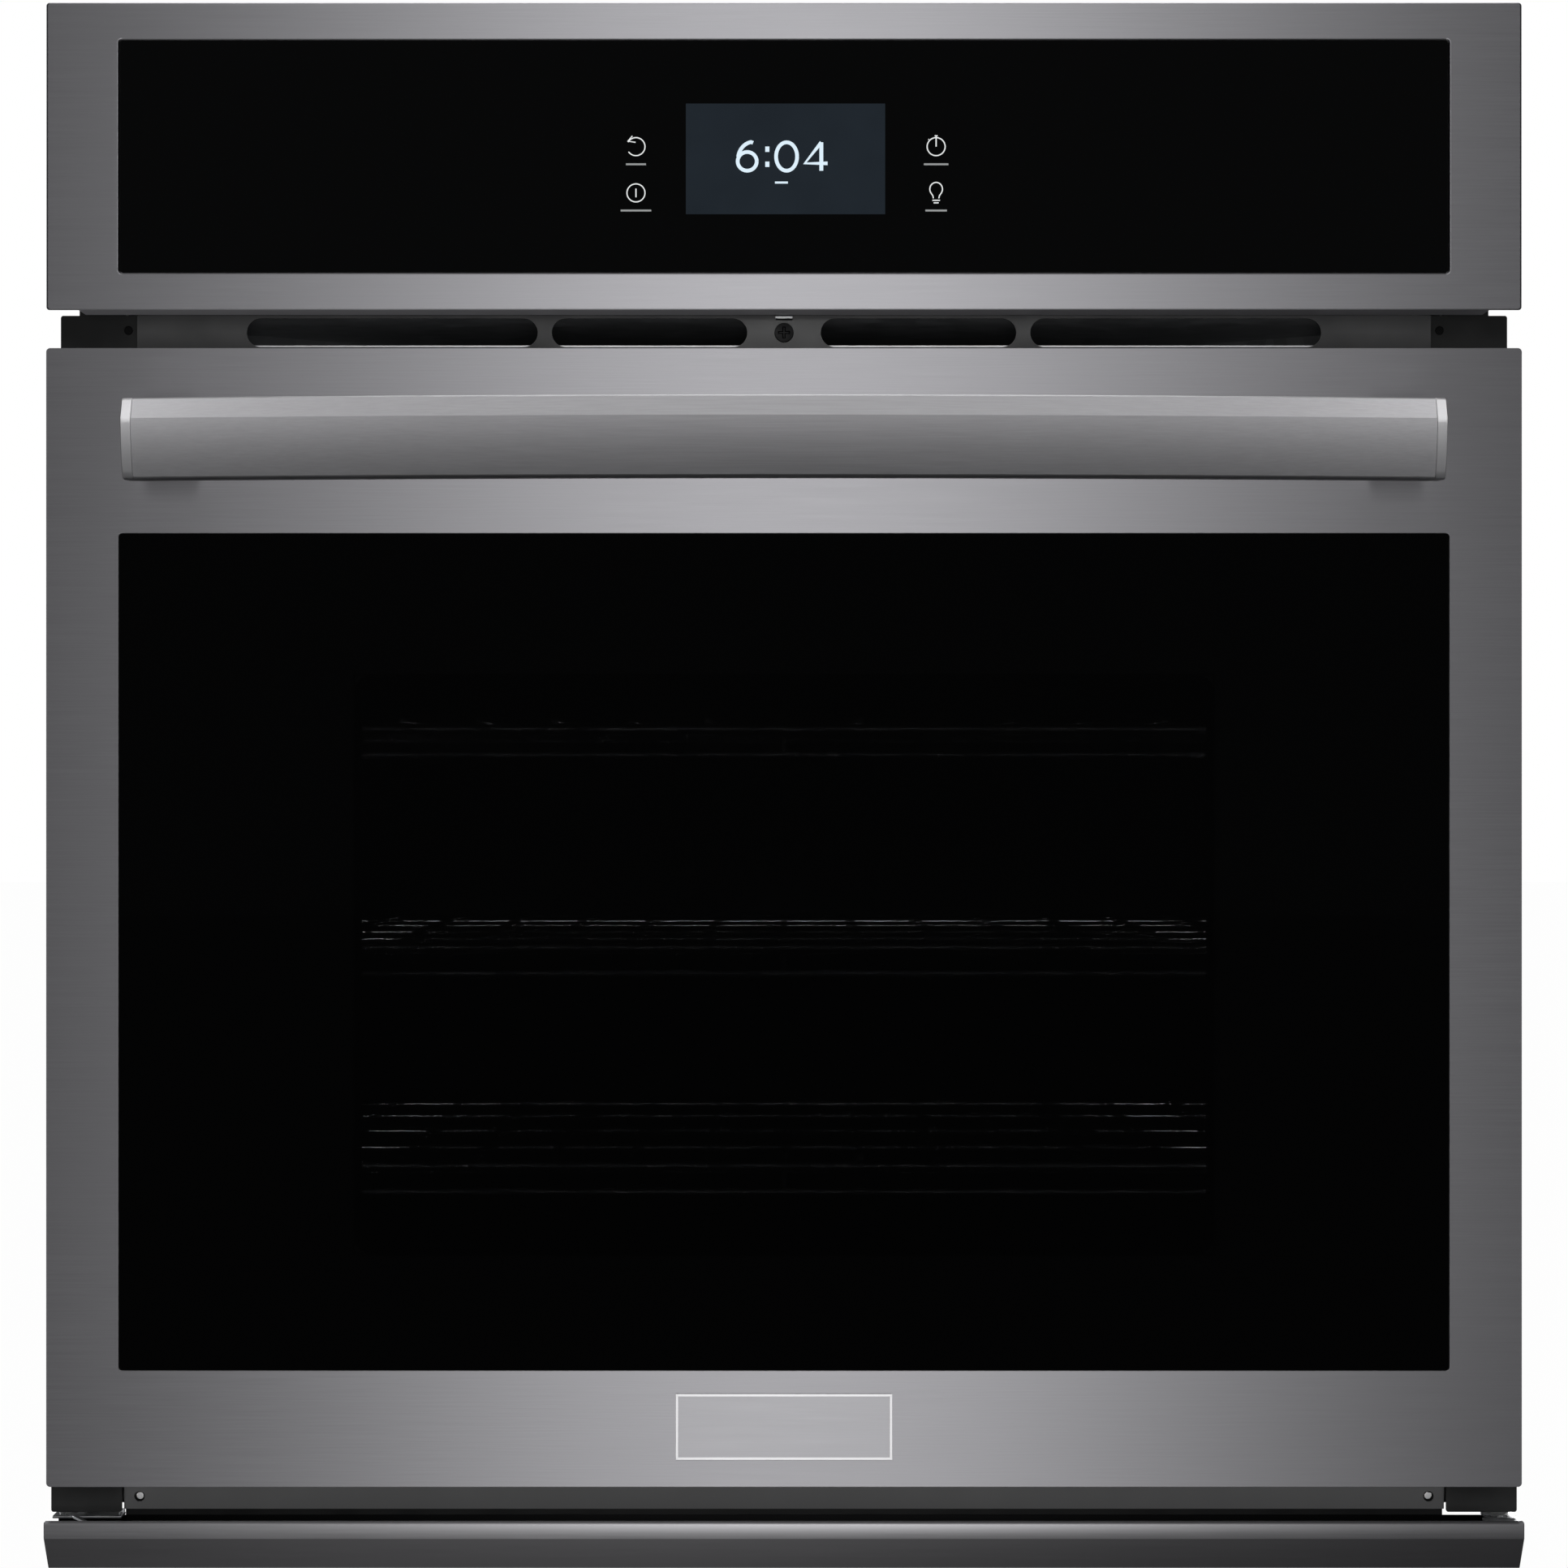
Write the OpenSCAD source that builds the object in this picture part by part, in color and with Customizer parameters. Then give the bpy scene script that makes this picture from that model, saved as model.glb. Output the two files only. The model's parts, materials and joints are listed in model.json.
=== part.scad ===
// Built-in single wall oven, 27 inch class, with a drop-down door.
// Millimetres, +Z up, the front looks along -Y.
// Origin: middle of the width, on the cabinet's face, on the floor of the cabinet's cut-out.

/* [Front face] */
// Width of the door and of the control panel
face_w = 685.8; // [680:0.1:692]
// How far the door and the control panel stand in front of the cabinet
face_proud = 48; // [46:0.5:52]
// Underside of the control panel
panel_z = 569.3; // [569:0.1:570]
// Height of the control panel
panel_h = 142.9; // [130:0.1:150]
// Width of the two dark glass fields, in the panel and in the door
glass_w = 618; // [600:0.5:620]
// Height of the glass field in the control panel
panel_glass_h = 108.5; // [90:0.5:112]

/* [Door] */
// Underside of the closed door
door_z = 22.3; // [22:0.1:24]
// Height of the door
door_h = 529.3; // [528:0.1:529.6]
// Thickness of the door
door_t = 40; // [39:0.5:40]
// Underside of the door's glass
door_glass_z = 76.3; // [74:0.1:80]
// Height of the door's glass
door_glass_h = 389.3; // [380:0.1:395]
// Width of the see-through window inside the glass
window_w = 400; // [360:1:420]
// Height of the see-through window
window_h = 270; // [240:1:280]
// Underside of the see-through window
window_z = 130; // [125:1:140]

/* [Handle] */
// Length over the end caps
handle_len = 603; // [560:1:620]
// Height of the bar
handle_h = 37; // [30:0.5:40]
// Depth of the bar's section
handle_d = 18; // [14:0.5:22]
// Middle height of the bar
handle_z = 506; // [500:1:510]
// Space between the door and the bar, at the ends
handle_gap = 30; // [26:1:36]
// How far the bar bows outwards in the middle
handle_bow = 18; // [10:1:24]

/* [Hinge] */
// Distance of the hinge line behind the door's face
hinge_in = 10; // [9.5:0.5:10.5]
// Height of the hinge line
hinge_z = 30; // [29.5:0.5:30.5]
// Distance of each hinge from the middle
hinge_x = 292; // [290:1:293]
// Radius of the pivot pin
pivot_r = 3; // [2.5:0.1:3.5]
// Crank from the pivot to the spring rod's lug
crank_r = 18; // [17:0.5:18]

/* [Chassis] */
// Width of the body that goes into the cabinet
body_w = 626; // [624:1:628]
// Depth of the body behind the cabinet's face
body_d = 556; // [552:1:570]
// Height of the body
body_h = 683; // [680:1:690]
// Sheet thickness of the body
sheet = 1.2; // [1:0.1:1.2]

/* [Cavity] */
// Width of the oven cavity
cavity_w = 530; // [520:1:530]
// Height of the oven cavity
cavity_h = 440; // [430:1:440]
// Depth of the oven cavity
cavity_d = 500; // [495:1:500]
// Floor of the cavity above the base
cavity_z = 78; // [76:1:80]
// Number of rack levels
levels = 7; // [5:1:7]
// Height of the lowest rack level
level_z = 110; // [104:1:116]
// Height between rack levels
level_step = 53; // [50:1:54]

/* [Hidden] */
$fn = 48;
hair = 0.1;                              // gap that keeps two sheets apart
hw = face_w / 2;
bw = body_w / 2;
face_y = -face_proud;
door_back = face_y + door_t;             // inner face of the closed door
door_top = door_z + door_h;
panel_top = panel_z + panel_h;
panel_mid = panel_z + panel_h / 2;
cw = cavity_w / 2;
cavity_top = cavity_z + cavity_h;
fan_z = cavity_z + cavity_h / 2;
frame_t = 2;                             // face frame and side trims
frame_top = 552;
duct_z0 = 553;
duct_z1 = 568.8;
vent_y = face_y + 21;                    // face of the vent plate
toe_y = face_y + 19;                     // face of the side trims' toes
strip_y = -12;                           // face of the lower strip
gw = glass_w / 2;
panel_glass_z = panel_mid - panel_glass_h / 2;
skin_back = door_back - 6;               // where the skin ends and the liner begins
pivot_y = face_y + hinge_in;
lug_y = pivot_y + crank_r * cos(45);
lug_z = hinge_z + crank_r * sin(45);
lug_r = 2;
arc_front = face_proud + handle_gap + handle_bow + handle_d;
cap_t = 5;                               // thickness of the bar's end caps
half_bar = handle_len / 2 - cap_t - hair; // half the bar without its caps
bevel_d = 3;                             // how far the bar's top edge leans back
roll_d = 4;                              // how far the bar's face rolls back towards its lower edge
bar_r = (half_bar * half_bar + handle_bow * handle_bow) / (2 * handle_bow);
bar_cy = bar_r - arc_front;              // centre of the bar's arc
bar_a = asin(half_bar / bar_r);
ear_x = 307;                             // inner edge of the side trims' ears above the face frame
mount_x = 328.5;
mount_z = [110, 500];
fan_y = 470;
ring_y = 482;                            // plane of the ring heater
ring_r = 105;
ring_a = 78;
ring_end_x = ring_r * cos(ring_a) - 8 * sin(ring_a);
ring_end_z = fan_z - ring_r * sin(ring_a) - 8 * cos(ring_a);
blower_y = 330;
latch_x = -70;
latch_y = 25;
latch_z = 536;
switch_x = 160;
switch_z = 537;
rack_front = 41;
rack_back = 447;
wire_pitch = 37;

// ---- shapes that repeat -------------------------------------------------------------------------

// A block between two corners.
module block(x0, x1, y0, y1, z0, z1) {
    translate([x0, y0, z0])
        cube([x1 - x0, y1 - y0, z1 - z0]);
}

// The same block on the left and on the right.
module both_blocks(x0, x1, y0, y1, z0, z1) {
    block(x0, x1, y0, y1, z0, z1);
    block(-x1, -x0, y0, y1, z0, z1);
}

// A flat outline, drawn with X across and Z up, made solid between two depths.
module upright(y0, y1) {
    translate([0, y1, 0])
        rotate([90, 0, 0])
            linear_extrude(y1 - y0)
                children();
}

// A flat outline, drawn with Y across and Z up, made solid between two widths.
module sideways(x0, x1) {
    translate([x0, 0, 0])
        rotate([90, 0, 90])
            linear_extrude(x1 - x0)
                children();
}

module rod_x(x0, x1, y, z, r) {
    translate([x0, y, z])
        rotate([0, 90, 0])
            cylinder(r = r, h = x1 - x0);
}

module rod_y(x, y0, y1, z, r) {
    translate([x, y0, z])
        rotate([-90, 0, 0])
            cylinder(r = r, h = y1 - y0);
}

module rod_z(x, y, z0, z1, r) {
    translate([x, y, z0])
        cylinder(r = r, h = z1 - z0);
}

// Rectangle with round corners.
module round_rect(x0, x1, z0, z1, r) {
    translate([x0 + r, z0])
        square([x1 - x0 - 2 * r, z1 - z0]);
    translate([x0, z0 + r])
        square([x1 - x0, z1 - z0 - 2 * r]);
    for (x = [x0 + r, x1 - r], z = [z0 + r, z1 - r])
        translate([x, z])
            circle(r);
}

// Slot with round ends, lying across.
module stadium(x0, x1, z, r) {
    translate([x0 + r, z - r])
        square([x1 - x0 - 2 * r, 2 * r]);
    for (x = [x0 + r, x1 - r])
        translate([x, z])
            circle(r);
}

// Part of a ring of round section, in the XY plane.
module ring_part(ring_r, r, from, to) {
    rotate([0, 0, from])
        rotate_extrude(angle = to - from)
            translate([ring_r, 0])
                circle(r);
}

// Row of upright louvre slots through a wall that faces Y.
module louvres(x0, count, pitch, z0, z1) {
    for (i = [0 : count - 1])
        round_rect(x0 + i * pitch, x0 + i * pitch + 5, z0, z1, 2.4);
}

// ---- chassis ------------------------------------------------------------------------------------

module base_pan() {
    color("#202224")
        difference() {
            union() {
                block(-bw, bw, -8, body_d, 0, sheet);
                both_blocks(bw - 2.4 - sheet, bw - 2.4, 1, body_d - 2, sheet, 18);
                block(-bw + 20, bw - 20, -8, -8 + sheet, -14, 0);
            }
            for (x = [-240 : 40 : 240])
                for (y = [120, 400])
                    block(x - 14, x + 14, y, y + 5, -1, sheet + 1);
        }
}

// Side sheet, drawn on the right: folded front and top edges, louvres near the top.
module side_sheet() {
    color("#9a9c9e")
        difference() {
            union() {
                block(bw - 1, bw, hair, body_d - 1, sheet, body_h - 1.1);
                block(bw - 12, bw - 1, hair, 1.1, 60, frame_top - 4);
                block(bw - 12, bw - 1, body_d - 2, body_d - 1, 20, body_h - 1.1);
            }
            for (i = [0 : 9])
                block(bw - 2, bw + 1, 180 + 30 * i, 200 + 30 * i, 600, 605);
            for (i = [0 : 9])
                block(bw - 2, bw + 1, 180 + 30 * i, 200 + 30 * i, 625, 630);
        }
}

module side_panel_right() {
    side_sheet();
}

module side_panel_left() {
    mirror([1, 0, 0])
        side_sheet();
}

module top_cover() {
    color("#9a9c9e")
        difference() {
            union() {
                block(-bw, bw, -22, body_d, body_h - 1, body_h);
                block(-bw + 14, bw - 14, body_d - 2.2, body_d - 1.2, body_h - 14, body_h - 1);
            }
            for (x = [-210 : 30 : 210])
                for (y = [180, 460])
                    block(x - 3, x + 3, y, y + 40, body_h - 2, body_h + 1);
        }
}

module back_cover() {
    color("#9a9c9e")
        upright(body_d - 1, body_d)
            difference() {
                translate([-bw, sheet])
                    square([body_w, body_h - 1.1 - sheet]);
                louvres(-270, 24, 23, 60, 100);
                louvres(-270, 18, 23, 590, 640);
                translate([230, 620])
                    circle(12.2);
            }
}

module front_frame() {
    color("#101214")
        upright(-frame_t, 0)
            difference() {
                translate([-bw + hair, sheet])
                    square([body_w - 2 * hair, frame_top - sheet]);
                round_rect(-cw, cw, cavity_z, cavity_top, 18);
                for (s = [-1, 1])
                    translate([s * hinge_x - 5, 23])
                        square([10, 18]);
                round_rect(-80, -45, latch_z - 4, latch_z + 8, 2);
                translate([switch_x, switch_z])
                    circle(3.2);
            }
}

// Enamelled cavity with a front flange, rack ribs, and holes in the rear wall.
module oven_liner() {
    wall = 1.2;
    color("#1a1d24")
        difference() {
            union() {
                difference() {
                    upright(0, cavity_d + wall)
                        round_rect(-cw - wall, cw + wall, cavity_z - wall, cavity_top + wall, 18 + wall);
                    upright(-1, cavity_d)
                        round_rect(-cw, cw, cavity_z, cavity_top, 18);
                }
                upright(0, wall)
                    difference() {
                        round_rect(-cw - 12, cw + 12, cavity_z - 12, cavity_top + 12, 24);
                        round_rect(-cw, cw, cavity_z, cavity_top, 18);
                    }
                for (i = [0 : levels - 1])
                    rack_rib(level_z + i * level_step - 3.2);
            }
            upright(cavity_d - 1, cavity_d + 2) {
                translate([0, fan_z])
                    circle(9);
                for (s = [-1, 1]) {
                    translate([s * 200, 498])
                        circle(4);
                    translate([s * 205, 455])
                        circle(22);
                    translate([s * ring_end_x, ring_end_z])
                        circle(4);
                }
                translate([-120, 470])
                    circle(3);
            }
            rod_z(0, 120, cavity_top - 1, cavity_top + 2, 16);
        }
}

// One pair of embossed ribs that a rack slides on.
module rack_rib(top) {
    for (s = [0, 1])
        mirror([s, 0, 0])
            difference() {
                block(cw - 8, cw + 0.5, 10, 462, top - 9, top);
                translate([cw - 8, 0, top - 9])
                    rotate([0, -40, 0])
                        block(-12, 0, 9, 463, -2, 14);
            }
}

module insulation() {
    color("#d8cfae")
        difference() {
            block(-303, 303, 3, cavity_d + 46, 40, 545);
            block(-cw - 1.4, cw + 1.4, 0, cavity_d + 1.4, 58, cavity_top + 1.4);
            block(-cw - 13, cw + 13, 0, 5, 58, cavity_top + 13);
            both_blocks(275, 305, 0, 84, 30, 60);
            block(-112, 34, 0, 76, 520, 546);
            block(140, 180, 0, 45, 520, 546);
            rod_y(0, 500, 560, fan_z, 44);
            for (s = [-1, 1]) {
                rod_y(s * 205, 500, 560, 455, 27);
                rod_y(s * 200, 500, 560, 498, 6);
                rod_y(s * 200, 500, 560, 66, 6);
                rod_y(s * ring_end_x, 500, 560, ring_end_z, 6);
            }
            rod_y(-120, 500, 560, 470, 6);
            rod_z(0, 120, 515, 546, 20);
        }
}

// Round bead on a flat base strip, all round the cavity's mouth.
module door_gasket() {
    gx = cw + 10;
    g0 = cavity_z - 10;
    g1 = cavity_top + 10;
    bead = 2.8;
    bend = 22;
    color("#3a3c3e") {
        upright(-frame_t - 1.2, -frame_t)
            difference() {
                round_rect(-gx - 3.5, gx + 3.5, g0 - 3.5, g1 + 3.5, bend + 3.5);
                round_rect(-gx + 3.5, gx - 3.5, g0 + 3.5, g1 - 3.5, bend - 3.5);
            }
        for (z = [g0, g1])
            rod_x(-gx + bend, gx - bend, -frame_t - bead, z, bead);
        for (x = [-gx, gx])
            rod_z(x, -frame_t - bead, g0 + bend, g1 - bend, bead);
        for (s = [0, 1], t = [0, 1])
            translate([0, -frame_t - bead, (g0 + g1) / 2])
                mirror([s, 0, 0])
                    mirror([0, 0, t])
                        translate([gx - bend, 0, (g1 - g0) / 2 - bend])
                            rotate([90, 0, 0])
                                ring_part(bend, bead, 0, 90);
    }
}

// Side trim, drawn on the right: flange on the cabinet's face, leg along the body, toe below the door.
module side_trim() {
    toe_x = 310.6;
    outer = hw + 0.9;
    corner = 1.2;
    color("#141517") {
        upright(-frame_t, 0)
            difference() {
                union() {
                    translate([bw + 0.3, 7.5])
                        square([21.6, 640 - 7.5]);
                    round_rect(bw + 8, outer, 7.5, 571.6, corner);
                    translate([ear_x, frame_top + 1.5])
                        square([bw + 1 - ear_x, 571.6 - frame_top - 1.5]);
                }
                for (z = mount_z)
                    translate([mount_x, z])
                        circle(2.4);
            }
        block(bw + 0.2, bw + 0.3 + sheet, 0, 22, 7.5, 640);
        upright(toe_y, toe_y + sheet)
            round_rect(toe_x, outer, 7.5, 21.5, corner);
        block(outer - sheet, outer, toe_y + sheet, -frame_t, 11.5, 17.5);
    }
}

module side_trim_right() {
    side_trim();
}

module side_trim_left() {
    mirror([1, 0, 0])
        side_trim();
}

// Slotted plate that the cooling air leaves through, above the door.
module vent_plate() {
    low = 552.9;
    color("#3c3c3d")
        difference() {
            union() {
                block(-303.8, 303.8, vent_y, vent_y + sheet, low, panel_z - hair);
                block(-303.8, 303.8, vent_y + sheet, -frame_t - hair, low, low + 0.9);
            }
            upright(vent_y - 1, vent_y + sheet + 0.3) {
                for (s = [0, 1])
                    mirror([s, 0]) {
                        stadium(17.3, 109, 560.9, 6.7);
                        stadium(115.7, 252.2, 560.9, 6.7);
                    }
                translate([-4, panel_z - 2.5])
                    square([8, 4]);
                circle_at(0, 560.9, 2);
            }
        }
}

module circle_at(x, z, r) {
    translate([x, z])
        circle(r);
}

// Flat duct from the blower to the vent plate, with the flue collar from the cavity.
module air_duct() {
    floor_t = 1;
    front = vent_y + sheet + hair;
    color("#b4b6b8")
        difference() {
            union() {
                translate([0, 0, duct_z0 + 1])
                    linear_extrude(duct_z1 - duct_z0 - 1)
                        duct_plan(0, front);
                rod_z(0, 120, cavity_top + 1.4, duct_z0 + 2, 18);
            }
            translate([0, 0, duct_z0 + 1 + floor_t])
                linear_extrude(duct_z1 - duct_z0 - 2 - floor_t)
                    duct_plan(1, front - 1);
            rod_z(0, 120, cavity_top, duct_z0 + 3, 15);
        }
}

module duct_plan(inset, front) {
    wide = 300 - inset;
    narrow = 60 - inset;
    polygon([[-wide, front], [wide, front], [wide, 20], [narrow, 220], [narrow, 246 + inset],
        [-narrow, 246 + inset], [-narrow, 220], [-wide, 20]]);
}

// Folded panel below the door, in front of the face frame.
module lower_strip() {
    color("#3e3e3f")
        difference() {
            union() {
                block(-312.2, 312.2, strip_y, strip_y + sheet, 6.1, 21.3);
                block(-312.2, 312.2, strip_y + sheet, -frame_t - hair, 20.1, 21.3);
            }
            for (s = [-1, 1])
                rod_y(s * 304.9, strip_y - 1, strip_y + 2, 12, 2.5);
        }
}

// Bent trim under the door: short ledge, upright band, face that leans back, and a flange to the base.
module bottom_trim() {
    t = 1;
    color("#6f6f72")
        sideways(-343.8, 343.8)
            polygon([[-45, 6.1], [-49.2, 6.1], [-50, 5.3], [-50, -1.4], [-37, -17.4],
                [-8, -17.4], [-8, 2.7], [-8 - t, 2.7], [-8 - t, -17.4 + t], [-37 + 0.5, -17.4 + t],
                [-50 + t, -1], [-50 + t, 6.1 - t], [-45, 6.1 - t]]);
}

// Plated end brackets between the bottom trim and the side trims. The left one has an open stay in front.
module bottom_trim_brackets() {
    z1 = 5.3;
    z0 = z1 - sheet;
    color("#b9bbbd") {
        translate([0, 0, z0])
            linear_extrude(sheet) {
                translate([-343.6, -27])
                    square([32.6, 12.2]);
                polygon([[-334, -27], [-331, -27], [-324.5, -41.2], [-311, -41.2], [-311, -43.2],
                    [-325.8, -43.2]]);
            }
        block(-313.5, -311, -18, -16.8, z1, 7.2);
        translate([0, 0, z0])
            linear_extrude(sheet)
                polygon([[327, -44], [343.6, -44], [343.6, -14.8], [329, -14.8], [329, -30], [327, -32]]);
        for (s = [-1, 1])
            translate([s * 336, 0, 0]) {
                block(-6, 6, -14.8 - sheet, -14.8, z0, 7.2);
                block(-6, 6, -14.8, -frame_t - hair, 6, 7.2);
            }
    }
}

module pan_head(x, y, z, r) {
    rod_y(x, y - 1.6, y, z, r);
}

// Screws and pins that hold the front pieces.
module chassis_screws() {
    color("#55585a") {
        difference() {
            union() {
                pan_head(0, vent_y, 560.9, 4.5);
                rod_y(0, vent_y, vent_y + 8, 560.9, 1.9);
            }
            block(-2.6, 2.6, vent_y - 2, vent_y - 1, 560.4, 561.4);
            block(-0.5, 0.5, vent_y - 2, vent_y - 1, 558.3, 563.5);
        }
        for (s = [-1, 1]) {
            pan_head(s * 311.5, -frame_t, 564.5, 2);
            pan_head(s * 308.5, -frame_t, 547, 3);
            pan_head(s * 304.9, -frame_t - 6, 12, 1.75);
            rod_y(s * 304.9, -frame_t - 6, -frame_t, 12, 1.2);
        }
        for (x = [-260 : 130 : 260])
            pan_head(x, -8 - 1, -9, 3.4);
        for (x = [-300, 300], z = [40, 340, 660])
            rod_y(x, body_d, body_d + 2, z, 4);
    }
}

// ---- controls -----------------------------------------------------------------------------------

// Open tray behind the control panel that carries the electronics.
module control_housing() {
    z0 = duct_z1 + 1.7;
    color("#a6a8aa")
        difference() {
            block(-300, 300, -24, 110, z0, body_h - 1 - hair);
            block(-299, 299, -25, 109, z0 + 1, body_h);
            for (x = [-250 : 25 : 250])
                block(x - 5, x + 5, 108, 111, 640, 645);
        }
}

// Folded panel with a window for the glass and a ledge that the glass lies on.
module control_fascia() {
    t = 1;
    ledge = 4;
    color("#77777a")
        difference() {
            union() {
                difference() {
                    upright(face_y, -frame_t - 0.3)
                        round_rect(-hw, hw, panel_z, panel_top, 1.5);
                    upright(face_y + t, 0)
                        round_rect(-hw + t, hw - t, panel_z + t, panel_top - t, 0.6);
                    block(-hw - 1, hw + 1, vent_y, 0, panel_z - 1, panel_z + 6);
                    both_blocks(hw - 15, hw + 1, face_y + t, 0, panel_z - 1, panel_z + 6);
                }
                upright(face_y + t, face_y + 5)
                    round_rect(-gw - 1, gw + 1, panel_glass_z - 1, panel_glass_z + panel_glass_h + 1, 2.5);
            }
            upright(face_y - 1, face_y + ledge)
                round_rect(-gw, gw, panel_glass_z, panel_glass_z + panel_glass_h, 1.5);
            upright(face_y, face_y + 6)
                round_rect(-gw + 8, gw - 8, panel_glass_z + 7, panel_glass_z + panel_glass_h - 7, 3);
        }
}

module control_glass() {
    color("#0a0c0d")
        upright(face_y, face_y + 3.9)
            round_rect(-gw + 0.3, gw - 0.3, panel_glass_z + 0.3, panel_glass_z + panel_glass_h - 0.3, 1.3);
}

// Display in its bezel, behind the glass.
module display_module() {
    dy = face_y + 4;
    color("#20262e") {
        difference() {
            block(-50, 50, dy, dy + 9, 610, 669);
            block(-47, 47, dy - 1, dy + 3, 613.5, 665.5);
        }
        block(-46.5, 46.5, dy + 0.6, dy + 2.8, 614, 665);
        for (x = [-40, 40])
            block(x - 6, x + 6, dy + 9, dy + 13, 636, 644);
    }
}

// Touch-sensor board; its key pads have no travel.
module touch_board() {
    by = face_y + 18;
    color("#1d5a3a")
        difference() {
            union() {
                block(-180, 180, by, by + 1.6, 598, 682);
                for (x = [-70, 70], z = [623.6, 645])
                    rod_y(x, by - 12, by, z, 7);
                for (x = [-160, 160])
                    block(x - 12, x + 12, by + 1.6, by + 8, 640, 652);
            }
            for (x = [-174, 174], z = [604, 676])
                rod_y(x, by - 1, by + 3, z, 1.6);
        }
}

// Power board with transformer, relays and capacitors.
module control_board() {
    bz = duct_z1 + 8;
    color("#24543a") {
        block(-220, 140, -10, 96, bz, bz + 1.6);
        for (x = [-212, 132], y = [-4, 90])
            rod_z(x, y, duct_z1 + 2.7, bz, 3);
    }
    color("#2a2d30") {
        block(-200, -140, 20, 74, bz + 1.6, bz + 44);
        for (i = [0 : 5])
            block(-110 + 26 * i, -90 + 26 * i, 60, 84, bz + 1.6, bz + 20);
        for (i = [0 : 3])
            rod_z(-100 + 22 * i, 30, bz + 1.6, bz + 26, 7);
        block(60, 130, 4, 24, bz + 1.6, bz + 14);
    }
}

// ---- heat, air and light ------------------------------------------------------------------------

// Six legs joined by bends; the two outer legs go back through the rear wall.
module serpentine(z, r, front, rear, tail) {
    step = 80;
    for (i = [0 : 5])
        rod_y(-200 + step * i, front, (i == 0 || i == 5) ? tail : rear, z, r);
    for (i = [0, 2, 4])
        translate([-200 + step * (i + 0.5), front, z])
            ring_part(step / 2, r, 180, 360);
    for (i = [1, 3])
        translate([-200 + step * (i + 0.5), rear, z])
            ring_part(step / 2, r, 0, 180);
}

module broil_element() {
    color("#4a4c50") {
        serpentine(498, 3.2, 80, 380, 530);
        for (y = [130, 330])
            block(-214, 214, y, y + 3, 501.1, 504);
        for (x = [-150, 150], y = [130, 330])
            rod_z(x, y + 1.5, 504, cavity_top, 1.4);
    }
}

module bake_element() {
    color("#4a4c50")
        serpentine(66, 3.2, 80, 400, 530);
}

// Open ring round the fan; both ends bend back through the rear wall.
module convection_element() {
    elbow = 8;
    color("#4a4c50")
        translate([0, ring_y, fan_z])
            rotate([90, 0, 0]) {
                ring_part(ring_r, 3.2, -ring_a, 180 + ring_a);
                for (s = [0, 1])
                    mirror([s, 0, 0])
                        rotate([0, 0, -ring_a])
                            translate([ring_r, 0, -elbow])
                                rotate([0, -90, 0])
                                    rotate([180, 0, 0])
                                        ring_part(elbow, 3.2, 0, 90);
            }
    color("#4a4c50")
        for (s = [-1, 1])
            rod_y(s * ring_end_x, ring_y + elbow, 530, ring_end_z, 3.2);
}

// Dished cover with a ring of inlet holes and side slots for the hot air.
module fan_cover() {
    front = 452;
    color("#1c1f26")
        difference() {
            union() {
                upright(front, front + sheet)
                    difference() {
                        round_rect(-150, 150, fan_z - 135, fan_z + 135, 40);
                        for (ring = [1 : 4])
                            for (k = [0 : 6 * ring - 1])
                                rotate_about(0, fan_z, k * 60 / ring)
                                    circle_at(14 * ring, fan_z, 4.5);
                        circle_at(0, fan_z, 4.5);
                    }
                upright(front + sheet, cavity_d - hair)
                    difference() {
                        round_rect(-150, 150, fan_z - 135, fan_z + 135, 40);
                        round_rect(-148.8, 148.8, fan_z - 133.8, fan_z + 133.8, 38.8);
                    }
            }
            for (i = [0 : 6])
                block(-160, 160, front + 12, front + 36, fan_z - 84 + 26 * i, fan_z - 72 + 26 * i);
            for (i = [0 : 6])
                block(-84 + 26 * i, -72 + 26 * i, front + 12, front + 36, fan_z - 140, fan_z + 140);
        }
}

module rotate_about(x, z, a) {
    translate([x, z])
        rotate(a)
            translate([-x, -z])
                children();
}

module convection_motor() {
    color("#8d8f92")
        difference() {
            union() {
                rod_y(0, 503, 545, fan_z, 36);
                upright(501.3, 503)
                    round_rect(-41, 41, fan_z - 10, fan_z + 10, 8);
            }
            rod_y(0, 500, 532, fan_z, 4.05);
        }
}

// Back plate, hub and eight straight blades on a shaft.
module convection_fan() {
    color("#a9abad") {
        rod_y(0, fan_y + 10, fan_y + 11.2, fan_z, 72);
        rod_y(0, fan_y - 12, 531, fan_z, 4);
        rod_y(0, fan_y - 10, fan_y + 12, fan_z, 10);
        for (k = [0 : 7])
            translate([0, 0, fan_z])
                rotate([0, k * 45, 0])
                    block(9, 72, fan_y - 10, fan_y + 10.5, -0.6, 0.6);
    }
}

// Drum housing with an outlet towards the front.
module blower_housing() {
    color("#b4b6b8")
        difference() {
            union() {
                rod_z(0, blower_y, 546, 600, 74);
                block(-58, 58, 247, blower_y, 552, 569);
            }
            rod_z(0, blower_y, 547, 599, 73);
            block(-57, 57, 246, blower_y, 553, 568);
            rod_z(0, blower_y, 598, 601, 42);
        }
}

// Wheel with a floor, a hub, a rim and sixteen blades.
module blower_wheel() {
    color("#8f9193") {
        rod_z(0, blower_y, 551, 552.2, 62);
        rod_z(0, blower_y, 551, 570, 9);
        rod_z(0, blower_y, 569, 626, 3);
        difference() {
            rod_z(0, blower_y, 592, 594, 62);
            rod_z(0, blower_y, 591, 595, 50);
        }
        for (k = [0 : 15])
            translate([0, blower_y, 0])
                rotate([0, 0, k * 22.5])
                    block(50.5, 61.5, -0.7, 0.7, 552, 592.5);
    }
}

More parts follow.
